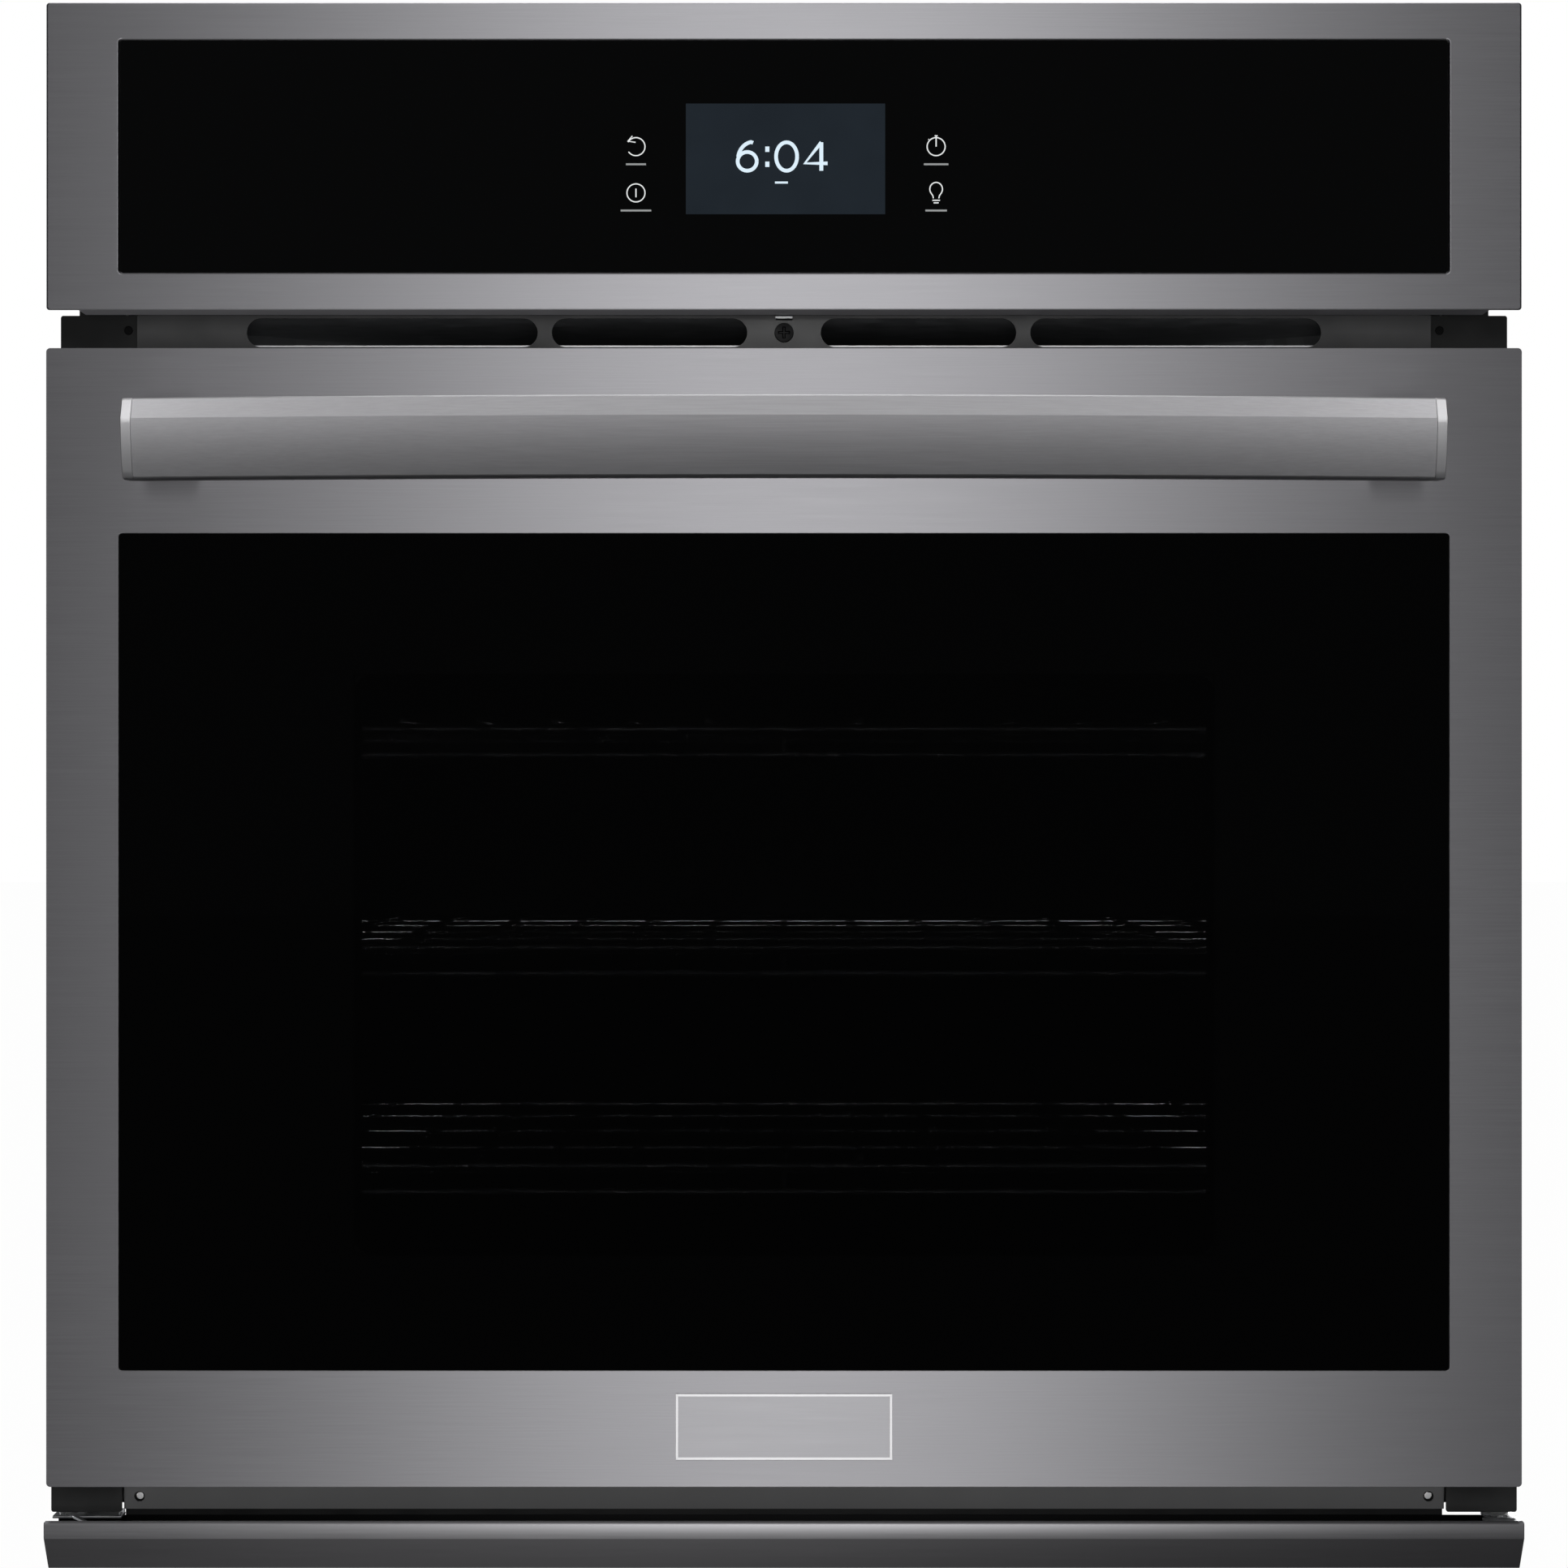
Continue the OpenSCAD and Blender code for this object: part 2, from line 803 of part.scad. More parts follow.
module blower_motor() {
    color("#4d5054")
        difference() {
            union() {
                rod_z(0, blower_y, 603, 650, 33);
                block(-60, 60, blower_y - 9, blower_y + 9, 600, 603);
                rod_z(0, blower_y, 650, 655, 12);
            }
            rod_z(0, blower_y, 599, 628, 3.05);
        }
}

module lamp_sockets() {
    color("#c9c6bd")
        for (s = [-1, 1])
            difference() {
                union() {
                    rod_y(s * 205, 501.3, 536, 455, 24);
                    rod_y(s * 205, 536, 542, 455, 10);
                }
                rod_y(s * 205, 501, 528, 455, 21);
            }
}

// Domed glass cover and the small halogen bulb behind it.
module lamp_lenses() {
    color("#cfd6d8")
        for (s = [-1, 1]) {
            rod_y(s * 205, 494, 500, 455, 27);
            rod_y(s * 205, 500, 510, 455, 20.5);
            intersection() {
                translate([s * 205, 520, 455])
                    sphere(r = 37.5);
                rod_y(s * 205, 480, 494, 455, 27);
            }
            rod_y(s * 205, 512, 527, 455, 5);
        }
}

module temperature_sensor() {
    color("#b7b9bb") {
        rod_y(-120, 380, 520, 470, 2.4);
        upright(498.6, 500)
            round_rect(-132, -108, 464, 476, 3);
    }
}

// ---- door hinges --------------------------------------------------------------------------------

// Open-topped pockets behind the face frame that the hinge arms hook into.
module hinge_receivers() {
    color("#8b8d90")
        for (s = [0, 1])
            mirror([s, 0, 0])
                difference() {
                    block(hinge_x - 9, hinge_x + 9, hair, 78, 21, 46);
                    block(hinge_x - 6, hinge_x + 6, -1, 72, 24, 43);
                    rod_x(hinge_x - 10, hinge_x + 10, 60, 33, 3);
                }
}

// Flat arms from the receivers to the pivots, each with a crank lug for the spring rod.
module hinge_arms() {
    reach = lug_y - pivot_y;
    color("#9fa1a4")
        for (s = [0, 1])
            mirror([s, 0, 0]) {
                difference() {
                    sideways(hinge_x - 2.5, hinge_x + 2.5) {
                        circle_at(pivot_y, hinge_z, 5.6);
                        translate([pivot_y, hinge_z - 4])
                            square([68 - pivot_y, 11]);
                        translate([pivot_y, hinge_z])
                            rotate(45)
                                translate([2, -3])
                                    square([crank_r - 2, 6]);
                        circle_at(lug_y, lug_z, 3.6);
                    }
                    rod_x(hinge_x - 3, hinge_x + 3, pivot_y, hinge_z, pivot_r + 0.05);
                }
                rod_x(hinge_x - 4.8, hinge_x + 4.8, pivot_y + reach, lug_z, lug_r);
            }
}

// Channels in the door: two walls and a web round the pivot and the spring.
module hinge_channels() {
    color("#8b8d90")
        for (s = [0, 1])
            mirror([s, 0, 0])
                difference() {
                    union() {
                        block(hinge_x - 9, hinge_x + 9, face_y + 3, skin_back - 0.2, 24, 68);
                        block(hinge_x - 9, hinge_x + 9, face_y + 7, skin_back - 0.2, 68, 300);
                    }
                    block(hinge_x - 7.5, hinge_x + 7.5, face_y + 4, 0, 20, 66.5);
                    block(hinge_x - 7.5, hinge_x + 7.5, face_y + 8.5, 0, 60, 92);
                    block(hinge_x - 7.5, hinge_x + 7.5, face_y + 8.5, 0, 95, 301);
                    rod_z(hinge_x, -24, 90, 96, 3.8);
                    rod_x(hinge_x - 10, hinge_x + 10, pivot_y, hinge_z, pivot_r);
                }
}

module hinge_pins() {
    color("#c4c6c8")
        for (s = [-1, 1])
            rod_x(s * hinge_x - 9, s * hinge_x + 9, pivot_y, hinge_z, pivot_r);
}

// Spring rods: a fork round the crank lug, a stem, and a head that the spring pushes on.
module hinge_rods() {
    color("#c4c6c8")
        for (s = [0, 1])
            mirror([s, 0, 0]) {
                difference() {
                    union() {
                        both_forks();
                        block(hinge_x - 4.5, hinge_x + 4.5, -30, -18, 56, 64);
                    }
                    rod_x(hinge_x - 6, hinge_x + 6, lug_y, lug_z, lug_r + 0.8);
                    rod_x(hinge_x - 6, hinge_x + 6, pivot_y + crank_r, lug_z, lug_r + 0.8);
                    block(hinge_x - 6, hinge_x + 6, lug_y, pivot_y + crank_r,
                        lug_z - lug_r - 0.8, lug_z + lug_r + 0.8);
                }
                rod_z(hinge_x, -24, 63, 236, 3.5);
                rod_z(hinge_x, -24, 236, 242, 6.8);
            }
}

module both_forks() {
    for (x = [hinge_x - 4.5, hinge_x + 3])
        block(x, x + 1.5, -30, -15.5, 37, 64);
}

// Close-wound compression springs, drawn as a stack of turns.
module hinge_springs() {
    turns = 28;
    z0 = 96.6;
    z1 = 234.6;
    color("#5b5e61")
        for (s = [-1, 1], i = [0 : turns - 1])
            translate([s * hinge_x, -24, z0 + (z1 - z0) * i / (turns - 1)])
                ring_part(5.6, 1.2, 0, 360);
}

// ---- latch and switch ---------------------------------------------------------------------------

module latch_motor() {
    color("#6d7074") {
        block(-90, -15, 4, 60, latch_z - 6, latch_z - 4.5);
        rod_z(latch_x, latch_y, latch_z - 4.5, latch_z + 10, 3);
        block(-56, -20, 10, 54, latch_z - 4.5, latch_z + 14);
    }
}

// Hook on an upright pivot; turned, its tooth stands behind the door's inner sheet.
module latch_hook() {
    color("#c4c6c8")
        difference() {
            translate([latch_x, latch_y, latch_z])
                linear_extrude(4) {
                    circle(7);
                    translate([-3, -44])
                        square([6, 44]);
                    translate([-3, -44])
                        square([17, 3.2]);
                }
            rod_z(latch_x, latch_y, latch_z - 1, latch_z + 5, 3.05);
        }
}

module door_switch() {
    color("#d8d8d4")
        difference() {
            block(switch_x - 10, switch_x + 10, 1.3, 38, switch_z - 8, switch_z + 7);
            rod_y(switch_x, 0, 24, switch_z, 2.55);
        }
}

module switch_plunger() {
    color("#e4e4e0")
        rod_y(switch_x, door_back + 0.1, 19, switch_z, 2.5);
}

// Round gland for the supply conduit, clamped in the back cover.
module conduit_gland() {
    color("#b9bbbd")
        difference() {
            union() {
                rod_y(230, body_d - 8, body_d + 8, 620, 12.1);
                rod_y(230, body_d, body_d + 4, 620, 16);
                rod_y(230, body_d - 5, body_d - 1, 620, 16);
            }
            rod_y(230, body_d - 9, body_d + 9, 620, 10.5);
        }
}

// ---- door ---------------------------------------------------------------------------------------

module door_skin() {
    t = 1;
    color("#77777a")
        difference() {
            upright(face_y, skin_back)
                round_rect(-hw, hw, door_z, door_top, 1.8);
            upright(face_y + t, 0)
                round_rect(-hw + t, hw - t, door_z + t, door_top - t, 1);
            upright(face_y - 1, face_y + 2)
                round_rect(-gw - 0.3, gw + 0.3, door_glass_z, door_glass_z + door_glass_h, 1.8);
            for (s = [-1, 1]) {
                block(s * hinge_x - 9, s * hinge_x + 9, face_y + 3, 0, door_z - 1, door_z + 2);
                rod_y(s * 283, face_y - 1, face_y + 2, handle_z, 2.6);
            }
            for (x = [-240 : 40 : 240]) {
                block(x - 14, x + 14, face_y + 10, face_y + 14, door_z - 1, door_z + 2);
                block(x - 14, x + 14, face_y + 10, face_y + 14, door_top - 2, door_top + 1);
            }
        }
}

module door_glass() {
    color("#0a0c0d")
        upright(face_y, face_y + 3.9)
            round_rect(-gw, gw, door_glass_z + 0.3, door_glass_z + door_glass_h - 0.3, 1.5);
}

// Carrier behind the outer glass, with a box round the window for the inner panes.
module glass_frame() {
    ww = window_w / 2;
    wz1 = window_z + window_h;
    color("#2b2d2f")
        difference() {
            union() {
                upright(face_y + 4, face_y + 5.5)
                    round_rect(-gw - 9, gw + 9, door_glass_z - 7, door_glass_z + door_glass_h + 8, 3);
                upright(face_y + 5.5, skin_back)
                    round_rect(-ww - 18, ww + 18, window_z - 18, wz1 + 18, 4);
            }
            upright(face_y + 3, face_y + 6)
                round_rect(-ww, ww, window_z, wz1, 8);
            upright(face_y + 5.5, 0)
                round_rect(-ww - 16.5, ww + 16.5, window_z - 16.5, wz1 + 16.5, 3);
        }
}

// One rectangular pane of the window.
module pane(y0, y1) {
    edge = 16;
    upright(y0, y1)
        round_rect(-window_w / 2 - edge, window_w / 2 + edge,
                   window_z - edge, window_z + window_h + edge, 3);
}

module middle_glass() {
    color("#7e8a88")
        pane(face_y + 18, face_y + 21);
}

module inner_glass() {
    color("#7e8a88")
        pane(door_back - 5.4, door_back - 1.4);
}

// Enamelled inner sheet with a rim, the window, and slots for the hinges and the latch.
module door_liner() {
    edge = hw - 1.9;
    color("#1a1d24")
        difference() {
            union() {
                upright(door_back - sheet, door_back)
                    round_rect(-edge, edge, door_z + 1.7, door_top - 1.7, 2);
                upright(skin_back, door_back - sheet)
                    difference() {
                        round_rect(-edge, edge, door_z + 1.7, door_top - 1.7, 2);
                        round_rect(-edge + sheet, edge - sheet, door_z + 2.9, door_top - 2.9, 1);
                    }
            }
            upright(door_back - 2, door_back + 1) {
                round_rect(-window_w / 2, window_w / 2, window_z, window_z + window_h, 14);
                round_rect(-77, -50, latch_z - 2.5, latch_z + 6.5, 1.5);
            }
            for (s = [-1, 1])
                block(s * hinge_x - 9, s * hinge_x + 9, skin_back - 1, 0, door_z, 41);
        }
}

module door_insulation() {
    color("#d8cfae")
        difference() {
            block(-268, 268, face_y + 8, skin_back - 0.3, 30, 545);
            block(-window_w / 2 - 18.5, window_w / 2 + 18.5, face_y, 0,
                  window_z - 18.5, window_z + window_h + 18.5);
            block(-95, -35, -36, 0, latch_z - 10, 546);
        }
}

// Bar section: outward across, up along; bevelled top edge and a face that rolls back downwards.
function bar_face(n) = [for (i = [0 : n]) let (a = i / n)
    [handle_d - roll_d * a * a, handle_h * (0.25 - 0.72 * a)]];

module bar_section() {
    h = handle_h / 2;
    top_y = handle_d - bevel_d;
    polygon(concat([[0, -h + 2], [0, h - 2], [2, h], [top_y - 1.2, h], [top_y, h - 0.6]],
        bar_face(10), [[handle_d - roll_d - 1.5, -h], [2, -h]]));
}

module handle_bar() {
    color("#747478")
        translate([0, bar_cy, handle_z])
            rotate([0, 0, -90 - bar_a])
                rotate_extrude(angle = 2 * bar_a, $fn = 360)
                    difference() {
                        translate([bar_r - handle_d, 0])
                            bar_section();
                        translate([bar_r - handle_d + 2, -handle_h / 2 + 3])
                            square([handle_d - 8, handle_h - 6]);
                    }
}

module handle_end_caps() {
    color("#8a8a8e")
        for (s = [0, 1])
            mirror([s, 0, 0])
                translate([0, bar_cy, handle_z])
                    rotate([0, 0, -90 + bar_a])
                        translate([0, 0.05, 0])
                            rotate([-90, 0, 0])
                                mirror([0, 1, 0])
                                    linear_extrude(cap_t)
                                        translate([bar_r - handle_d, 0])
                                            bar_section();
}

// Standoffs at the bar's ends, shaped to the bar's back, with their screws from inside the door.
module handle_posts() {
    color("#747478")
        for (s = [0, 1])
            mirror([s, 0, 0]) {
                intersection() {
                    block(271, 294, -arc_front, face_y, handle_z - 14, handle_z + 14);
                    translate([0, bar_cy, handle_z - 20])
                        cylinder(r = bar_r - handle_d - 0.05, h = 40, $fn = 720);
                }
                rod_y(283, face_y, face_y + 1.5, handle_z, 2.5);
                rod_y(283, face_y + 1.1, face_y + 5, handle_z, 5);
            }
}

// Plain oblong plate low on the door.
module badge() {
    color("#a8a8aa")
        upright(face_y - 1.4, face_y)
            round_rect(-50.3, 50.3, 35.1, 65.7, 1.2);
}

// ---- racks --------------------------------------------------------------------------------------

// Wire rack: round frame with bent corners, three cross bars, wires laid on top and a lower front rail.
module rack(z) {
    side = 255.4;
    bend = 14;
    frame_r = 3;
    bar_r2 = 2.2;
    wire_r = 1.6;
    drop = 12.4;
    weld = 0.03;                         // gap at the weld points
    color("#c9cbcd") {
        for (x = [-side, side])
            rod_y(x, rack_front + bend, rack_back - bend, z, frame_r);
        for (y = [rack_front, rack_back])
            rod_x(-side + bend, side - bend, y, z, frame_r);
        for (s = [0, 1], t = [0, 1])
            translate([0, (rack_front + rack_back) / 2, z])
                mirror([s, 0, 0])
                    mirror([0, t, 0])
                        translate([side - bend, (rack_back - rack_front) / 2 - bend, 0])
                            ring_part(bend, frame_r, 0, 90);
        for (y = [140, 244, 348])
            rod_x(-side + frame_r + weld, side - frame_r - weld, y, z + frame_r - bar_r2, bar_r2);
        for (i = [-6 : 6])
            rod_y(i * wire_pitch, rack_front - 1.5, rack_back + 1.5, z + frame_r + wire_r + weld, wire_r);
        rod_x(-side + bend + 6, side - bend - 6, rack_front, z - drop, bar_r2);
        for (x = [-side + bend + 12, 0, side - bend - 12])
            rod_z(x, rack_front, z - drop + bar_r2 + weld, z - frame_r - weld, 2);
    }
}

module lower_rack() {
    rack(level_z + level_step);
}

module middle_rack() {
    rack(level_z + 3 * level_step);
}

module upper_rack() {
    rack(level_z + 5 * level_step);
}

base_pan();
side_panel_left();
side_panel_right();
top_cover();
back_cover();
front_frame();
oven_liner();
insulation();
door_gasket();
side_trim_left();
side_trim_right();
vent_plate();
air_duct();
lower_strip();
bottom_trim();
bottom_trim_brackets();
chassis_screws();
control_housing();
control_fascia();
control_glass();
display_module();
touch_board();
control_board();
bake_element();
broil_element();
convection_element();
fan_cover();
convection_motor();
blower_housing();
blower_motor();
lamp_sockets();
lamp_lenses();
temperature_sensor();
hinge_receivers();
hinge_arms();
latch_motor();
door_switch();
conduit_gland();
door_skin();
door_glass();
glass_frame();
middle_glass();
inner_glass();
door_liner();
door_insulation();
hinge_channels();
hinge_pins();
hinge_springs();
handle_bar();
handle_end_caps();
handle_posts();
badge();
hinge_rods();
convection_fan();
blower_wheel();
latch_hook();
switch_plunger();
upper_rack();
middle_rack();
lower_rack();
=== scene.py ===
"""Looks of a built-in single wall oven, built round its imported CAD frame. Metres, +Z up, front along -Y."""

import json
import math

import bmesh
import bpy
from mathutils import Matrix, Vector, noise

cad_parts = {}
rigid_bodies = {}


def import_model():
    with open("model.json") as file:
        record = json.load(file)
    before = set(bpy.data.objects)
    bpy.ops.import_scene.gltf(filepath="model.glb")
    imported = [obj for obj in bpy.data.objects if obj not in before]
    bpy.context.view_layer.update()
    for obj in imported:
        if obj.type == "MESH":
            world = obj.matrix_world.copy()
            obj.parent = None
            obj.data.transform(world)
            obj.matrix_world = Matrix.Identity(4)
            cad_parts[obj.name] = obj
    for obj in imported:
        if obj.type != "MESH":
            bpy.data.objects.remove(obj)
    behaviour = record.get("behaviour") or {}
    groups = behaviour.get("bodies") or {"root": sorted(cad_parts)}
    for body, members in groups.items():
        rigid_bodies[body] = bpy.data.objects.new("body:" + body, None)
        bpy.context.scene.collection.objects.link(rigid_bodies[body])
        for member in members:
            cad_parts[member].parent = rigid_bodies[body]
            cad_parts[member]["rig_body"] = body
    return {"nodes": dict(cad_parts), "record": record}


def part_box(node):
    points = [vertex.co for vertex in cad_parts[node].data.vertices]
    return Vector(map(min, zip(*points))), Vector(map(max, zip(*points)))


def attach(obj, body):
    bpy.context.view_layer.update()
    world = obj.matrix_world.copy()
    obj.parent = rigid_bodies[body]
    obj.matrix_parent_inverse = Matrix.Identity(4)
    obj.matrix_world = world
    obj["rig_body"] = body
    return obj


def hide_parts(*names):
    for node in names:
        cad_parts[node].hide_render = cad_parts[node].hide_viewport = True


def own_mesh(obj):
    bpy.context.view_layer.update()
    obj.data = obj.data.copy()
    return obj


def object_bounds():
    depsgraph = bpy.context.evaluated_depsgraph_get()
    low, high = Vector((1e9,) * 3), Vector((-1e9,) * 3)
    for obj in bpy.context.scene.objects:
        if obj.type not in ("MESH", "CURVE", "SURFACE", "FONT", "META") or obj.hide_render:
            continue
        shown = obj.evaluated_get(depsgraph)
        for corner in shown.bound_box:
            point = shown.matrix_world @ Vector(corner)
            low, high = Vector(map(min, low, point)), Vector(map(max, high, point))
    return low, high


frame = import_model()
cad_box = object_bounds()
nodes = frame["nodes"]
slot_of = {part["node"]: part["material_slot"] for part in frame["record"]["subparts"]}

MM = 0.001


# ---- procedural finishes -------------------------------------------------------------------------

class Finish:
    """A node material with one Principled shader, and short ways to feed it."""

    def __init__(self, name):
        self.material = bpy.data.materials.new(name)
        self.material.use_nodes = True
        self.tree = self.material.node_tree
        self.tree.nodes.clear()
        self.shader = self.node("ShaderNodeBsdfPrincipled")
        self.surface = self.node("ShaderNodeOutputMaterial")
        self.link(self.shader.outputs[0], self.surface.inputs["Surface"])
        self.place = self.node("ShaderNodeTexCoord").outputs["Object"]

    def node(self, kind, **settings):
        made = self.tree.nodes.new(kind)
        for key, value in settings.items():
            setattr(made, key, value)
        return made

    def link(self, source, target):
        self.tree.links.new(source, target)

    def feed(self, socket, value):
        """Joins an output to a socket, or sets a plain number or colour on it."""
        if isinstance(value, bpy.types.NodeSocket):
            self.link(value, socket)
        elif isinstance(value, (tuple, list)) and len(value) == 3 and socket.type == "RGBA":
            socket.default_value = (*value, 1)
        else:
            socket.default_value = value

    def set(self, **values):
        for key, value in values.items():
            self.feed(self.shader.inputs[key.replace("_", " ")], value)
        return self

    def stretch(self, x, y, z):
        """The object's own coordinates, in cycles per metre along each axis."""
        mapping = self.node("ShaderNodeMapping")
        self.link(self.place, mapping.inputs["Vector"])
        mapping.inputs["Scale"].default_value = (x, y, z)
        return mapping.outputs[0]

    def noise(self, x, y=None, z=None, detail=2.0, rough=0.5, twist=0.0):
        made = self.node("ShaderNodeTexNoise")
        self.link(self.stretch(x, x if y is None else y, x if z is None else z), made.inputs["Vector"])
        made.inputs["Scale"].default_value = 1.0
        made.inputs["Detail"].default_value = detail
        made.inputs["Roughness"].default_value = rough
        made.inputs["Distortion"].default_value = twist
        return made.outputs["Fac"]

    def cells(self, scale, output="Distance", feature="F1", randomness=1.0):
        made = self.node("ShaderNodeTexVoronoi", feature=feature)
        self.link(self.place, made.inputs["Vector"])
        made.inputs["Scale"].default_value = scale
        made.inputs["Randomness"].default_value = randomness
        return made.outputs[output]

    def waves(self, axis, scale, twist=0.0):
        made = self.node("ShaderNodeTexWave", bands_direction=axis)
        self.link(self.place, made.inputs["Vector"])
        made.inputs["Scale"].default_value = scale
        made.inputs["Distortion"].default_value = twist
        return made.outputs["Fac"]

    def span(self, value, low, high, to_low=0.0, to_high=1.0, smooth=False):
        """value, remapped from low..high to to_low..to_high and held there."""
        made = self.node("ShaderNodeMapRange")
        if smooth:
            made.interpolation_type = "SMOOTHSTEP"
        for key, number in zip(("Value", "From Min", "From Max", "To Min", "To Max"),
                               (value, low, high, to_low, to_high)):
            self.feed(made.inputs[key], number)
        return made.outputs[0]

    def math(self, operation, a, b=0.0):
        made = self.node("ShaderNodeMath", operation=operation)
        self.feed(made.inputs[0], a)
        self.feed(made.inputs[1], b)
        return made.outputs[0]

    def mix(self, factor, a, b, blend="MIX"):
        made = self.node("ShaderNodeMix", data_type="RGBA", blend_type=blend)
        self.feed(made.inputs[0], factor)
        self.feed(made.inputs[6], a)
        self.feed(made.inputs[7], b)
        return made.outputs[2]

    def axis(self, name):
        made = self.node("ShaderNodeSeparateXYZ")
        self.link(self.place, made.inputs[0])
        return made.outputs[name]

    def bump(self, height, depth, strength=1.0):
        """Surface relief of that depth in metres."""
        made = self.node("ShaderNodeBump")
        self.link(height, made.inputs["Height"])
        made.inputs["Distance"].default_value = depth
        made.inputs["Strength"].default_value = strength
        self.link(made.outputs[0], self.shader.inputs["Normal"])
        return self

    def window_alpha(self, low, high, inside):
        """Solid outside the box low..high in X and Z, and see-through by 1 - inside within it."""
        edge = 1.2 * MM
        share = 1.0
        for name, a, b in (("X", low.x, high.x), ("Z", low.z, high.z)):
            value = self.axis(name)
            rising = self.span(value, a - edge, a + edge, smooth=True)
            falling = self.span(value, b - edge, b + edge, 1.0, 0.0, smooth=True)
            share = self.math("MULTIPLY", share, self.math("MULTIPLY", rising, falling))
        return self.set(Alpha=self.span(share, 0.0, 1.0, 1.0, inside))


def tone(rgb, factor):
    return tuple(channel * factor for channel in rgb)


def brushed(name, colour, roughness, anisotropy, contrast=0.06, shade=None):
    """Steel brushed across the width: fine streaks along X and a highlight drawn out upright."""
    f = Finish(name).set(Metallic=1.0, Anisotropic=anisotropy, Anisotropic_Rotation=0.25)
    along = f.node("ShaderNodeVectorTransform", vector_type="VECTOR",
                   convert_from="OBJECT", convert_to="WORLD")
    along.inputs[0].default_value = (1, 0.1, 0)
    f.link(along.outputs[0], f.shader.inputs["Tangent"])
    streaks = f.noise(22, 1500, 1500, detail=3, rough=0.62)
    long_streaks = f.noise(5, 600, 600, detail=2)
    clouds = f.noise(5, detail=2)
    grain = f.math("ADD", f.math("MULTIPLY", streaks, 0.8), f.math("MULTIPLY", long_streaks, 0.2))
    base = f.mix(f.span(grain, 0.36, 0.64), tone(colour, 1 - contrast), tone(colour, 1 + contrast))
    base = f.mix(f.span(clouds, 0.3, 0.7, 0.0, 0.5), base, tone(colour, 0.97))
    if shade:
        base = shade(f, base)
    f.set(Base_Color=base, Roughness=f.span(grain, 0.3, 0.7, roughness - 0.02, roughness + 0.02))
    return f.bump(grain, 0.012 * MM, 0.3).material


def black_stainless():
    return brushed("black_stainless", (0.405, 0.400, 0.420), 0.49, 0.84)


def door_steel():
    return brushed("door_steel", (0.365, 0.360, 0.378), 0.49, 0.84)


def trim_steel():
    """The same steel with painted shade: darker on the face that turns under, and near-black inside, where
    shade falls.
    """
    colour = (0.43, 0.425, 0.44)

    def shade(f, base):
        # Painted shade: the face below z = -1.5 mm, turned down and away from the light, gets half the
        # colour.
        base = f.mix(f.math("LESS_THAN", f.axis("Z"), -1.5 * MM), base, tone(colour, 0.5))
        # Painted shade: everything behind y = -36 mm, the trim's inside and back, is nearly black.
        return f.mix(f.math("GREATER_THAN", f.axis("Y"), -36 * MM), base, tone(colour, 0.02))

    return brushed("trim_steel", colour, 0.46, 0.84, shade=shade)


def bar_metal():
    return brushed("bar_metal", (0.41, 0.405, 0.42), 0.44, 0.775)


def handle_cap_metal():
    return brushed("handle_cap_metal", (0.60, 0.595, 0.61), 0.52, 0.3, 0.03)


def badge_metal():
    return brushed("badge_metal", (0.405, 0.400, 0.418), 0.49, 0.84, 0.04)


def badge_bright():
    return brushed("badge_bright", (0.78, 0.775, 0.79), 0.49, 0.84, 0.03)


def galvanized_sheet():
    f = Finish("galvanized_sheet")
    cell = f.cells(95, "Color")
    shade = f.node("ShaderNodeRGBToBW")
    f.link(cell, shade.inputs[0])
    dust = f.noise(9, detail=3)
    base = f.mix(f.span(shade.outputs[0], 0.2, 0.8), (0.50, 0.51, 0.52), (0.64, 0.65, 0.665))
    base = f.mix(f.span(dust, 0.45, 0.75, 0.0, 0.35), base, (0.44, 0.44, 0.43))
    f.set(Metallic=0.85, Base_Color=base, Roughness=f.span(shade.outputs[0], 0, 1, 0.38, 0.48))
    return f.bump(f.noise(700, detail=2), 0.02 * MM, 0.4).material


def enamel(name, dark, light, roughness, coat=0.4):
    """Smooth baked enamel with slight orange peel."""
    f = Finish(name).set(Coat_Weight=coat, Coat_Roughness=0.12)
    f.set(Base_Color=f.mix(f.noise(30, detail=3), dark, light))
    f.set(Roughness=f.span(f.noise(60, detail=2), 0.3, 0.7, roughness - 0.05, roughness + 0.06))
    return f.bump(f.noise(420, detail=1), 0.03 * MM, 0.35).material


def black_enamel():
    return enamel("black_enamel", (0.010, 0.0105, 0.011), (0.017, 0.0175, 0.018), 0.36)


def trim_black():
    return enamel("trim_black", (0.0045, 0.0050, 0.0050), (0.0080, 0.0085, 0.0085), 0.62, 0.0)


def strip_grey_painted_light():
    # Painted light: the vent plate's dark grey made about five times lighter, standing in for lamp light that
    # the strip, recessed under the door, hardly gets.
    return enamel("strip_grey_painted_light", (0.23, 0.23, 0.233), (0.26, 0.26, 0.263), 0.6, 0.0)


def front_screws():
    """Blackened screw above the door, bright pins below it."""
    f = Finish("front_screws").set(Metallic=1.0)
    low_down = f.math("LESS_THAN", f.axis("Z"), 30 * MM)
    stain = f.mix(f.noise(300, detail=2), (0.005, 0.005, 0.0052), (0.012, 0.012, 0.0122))
    f.set(Base_Color=f.mix(low_down, stain, (0.80, 0.80, 0.80)))
    f.set(Roughness=f.span(f.noise(130, detail=3), 0.3, 0.7, 0.36, 0.48))
    return f.bump(f.noise(900, detail=2), 0.01 * MM, 0.3).material


def dark_grey_steel():
    return enamel("dark_grey_steel", (0.046, 0.046, 0.047), (0.056, 0.056, 0.057), 0.55, 0.1)


def glass_carrier():
    return enamel("glass_carrier", (0.016, 0.017, 0.018), (0.026, 0.027, 0.028), 0.5, 0.0)


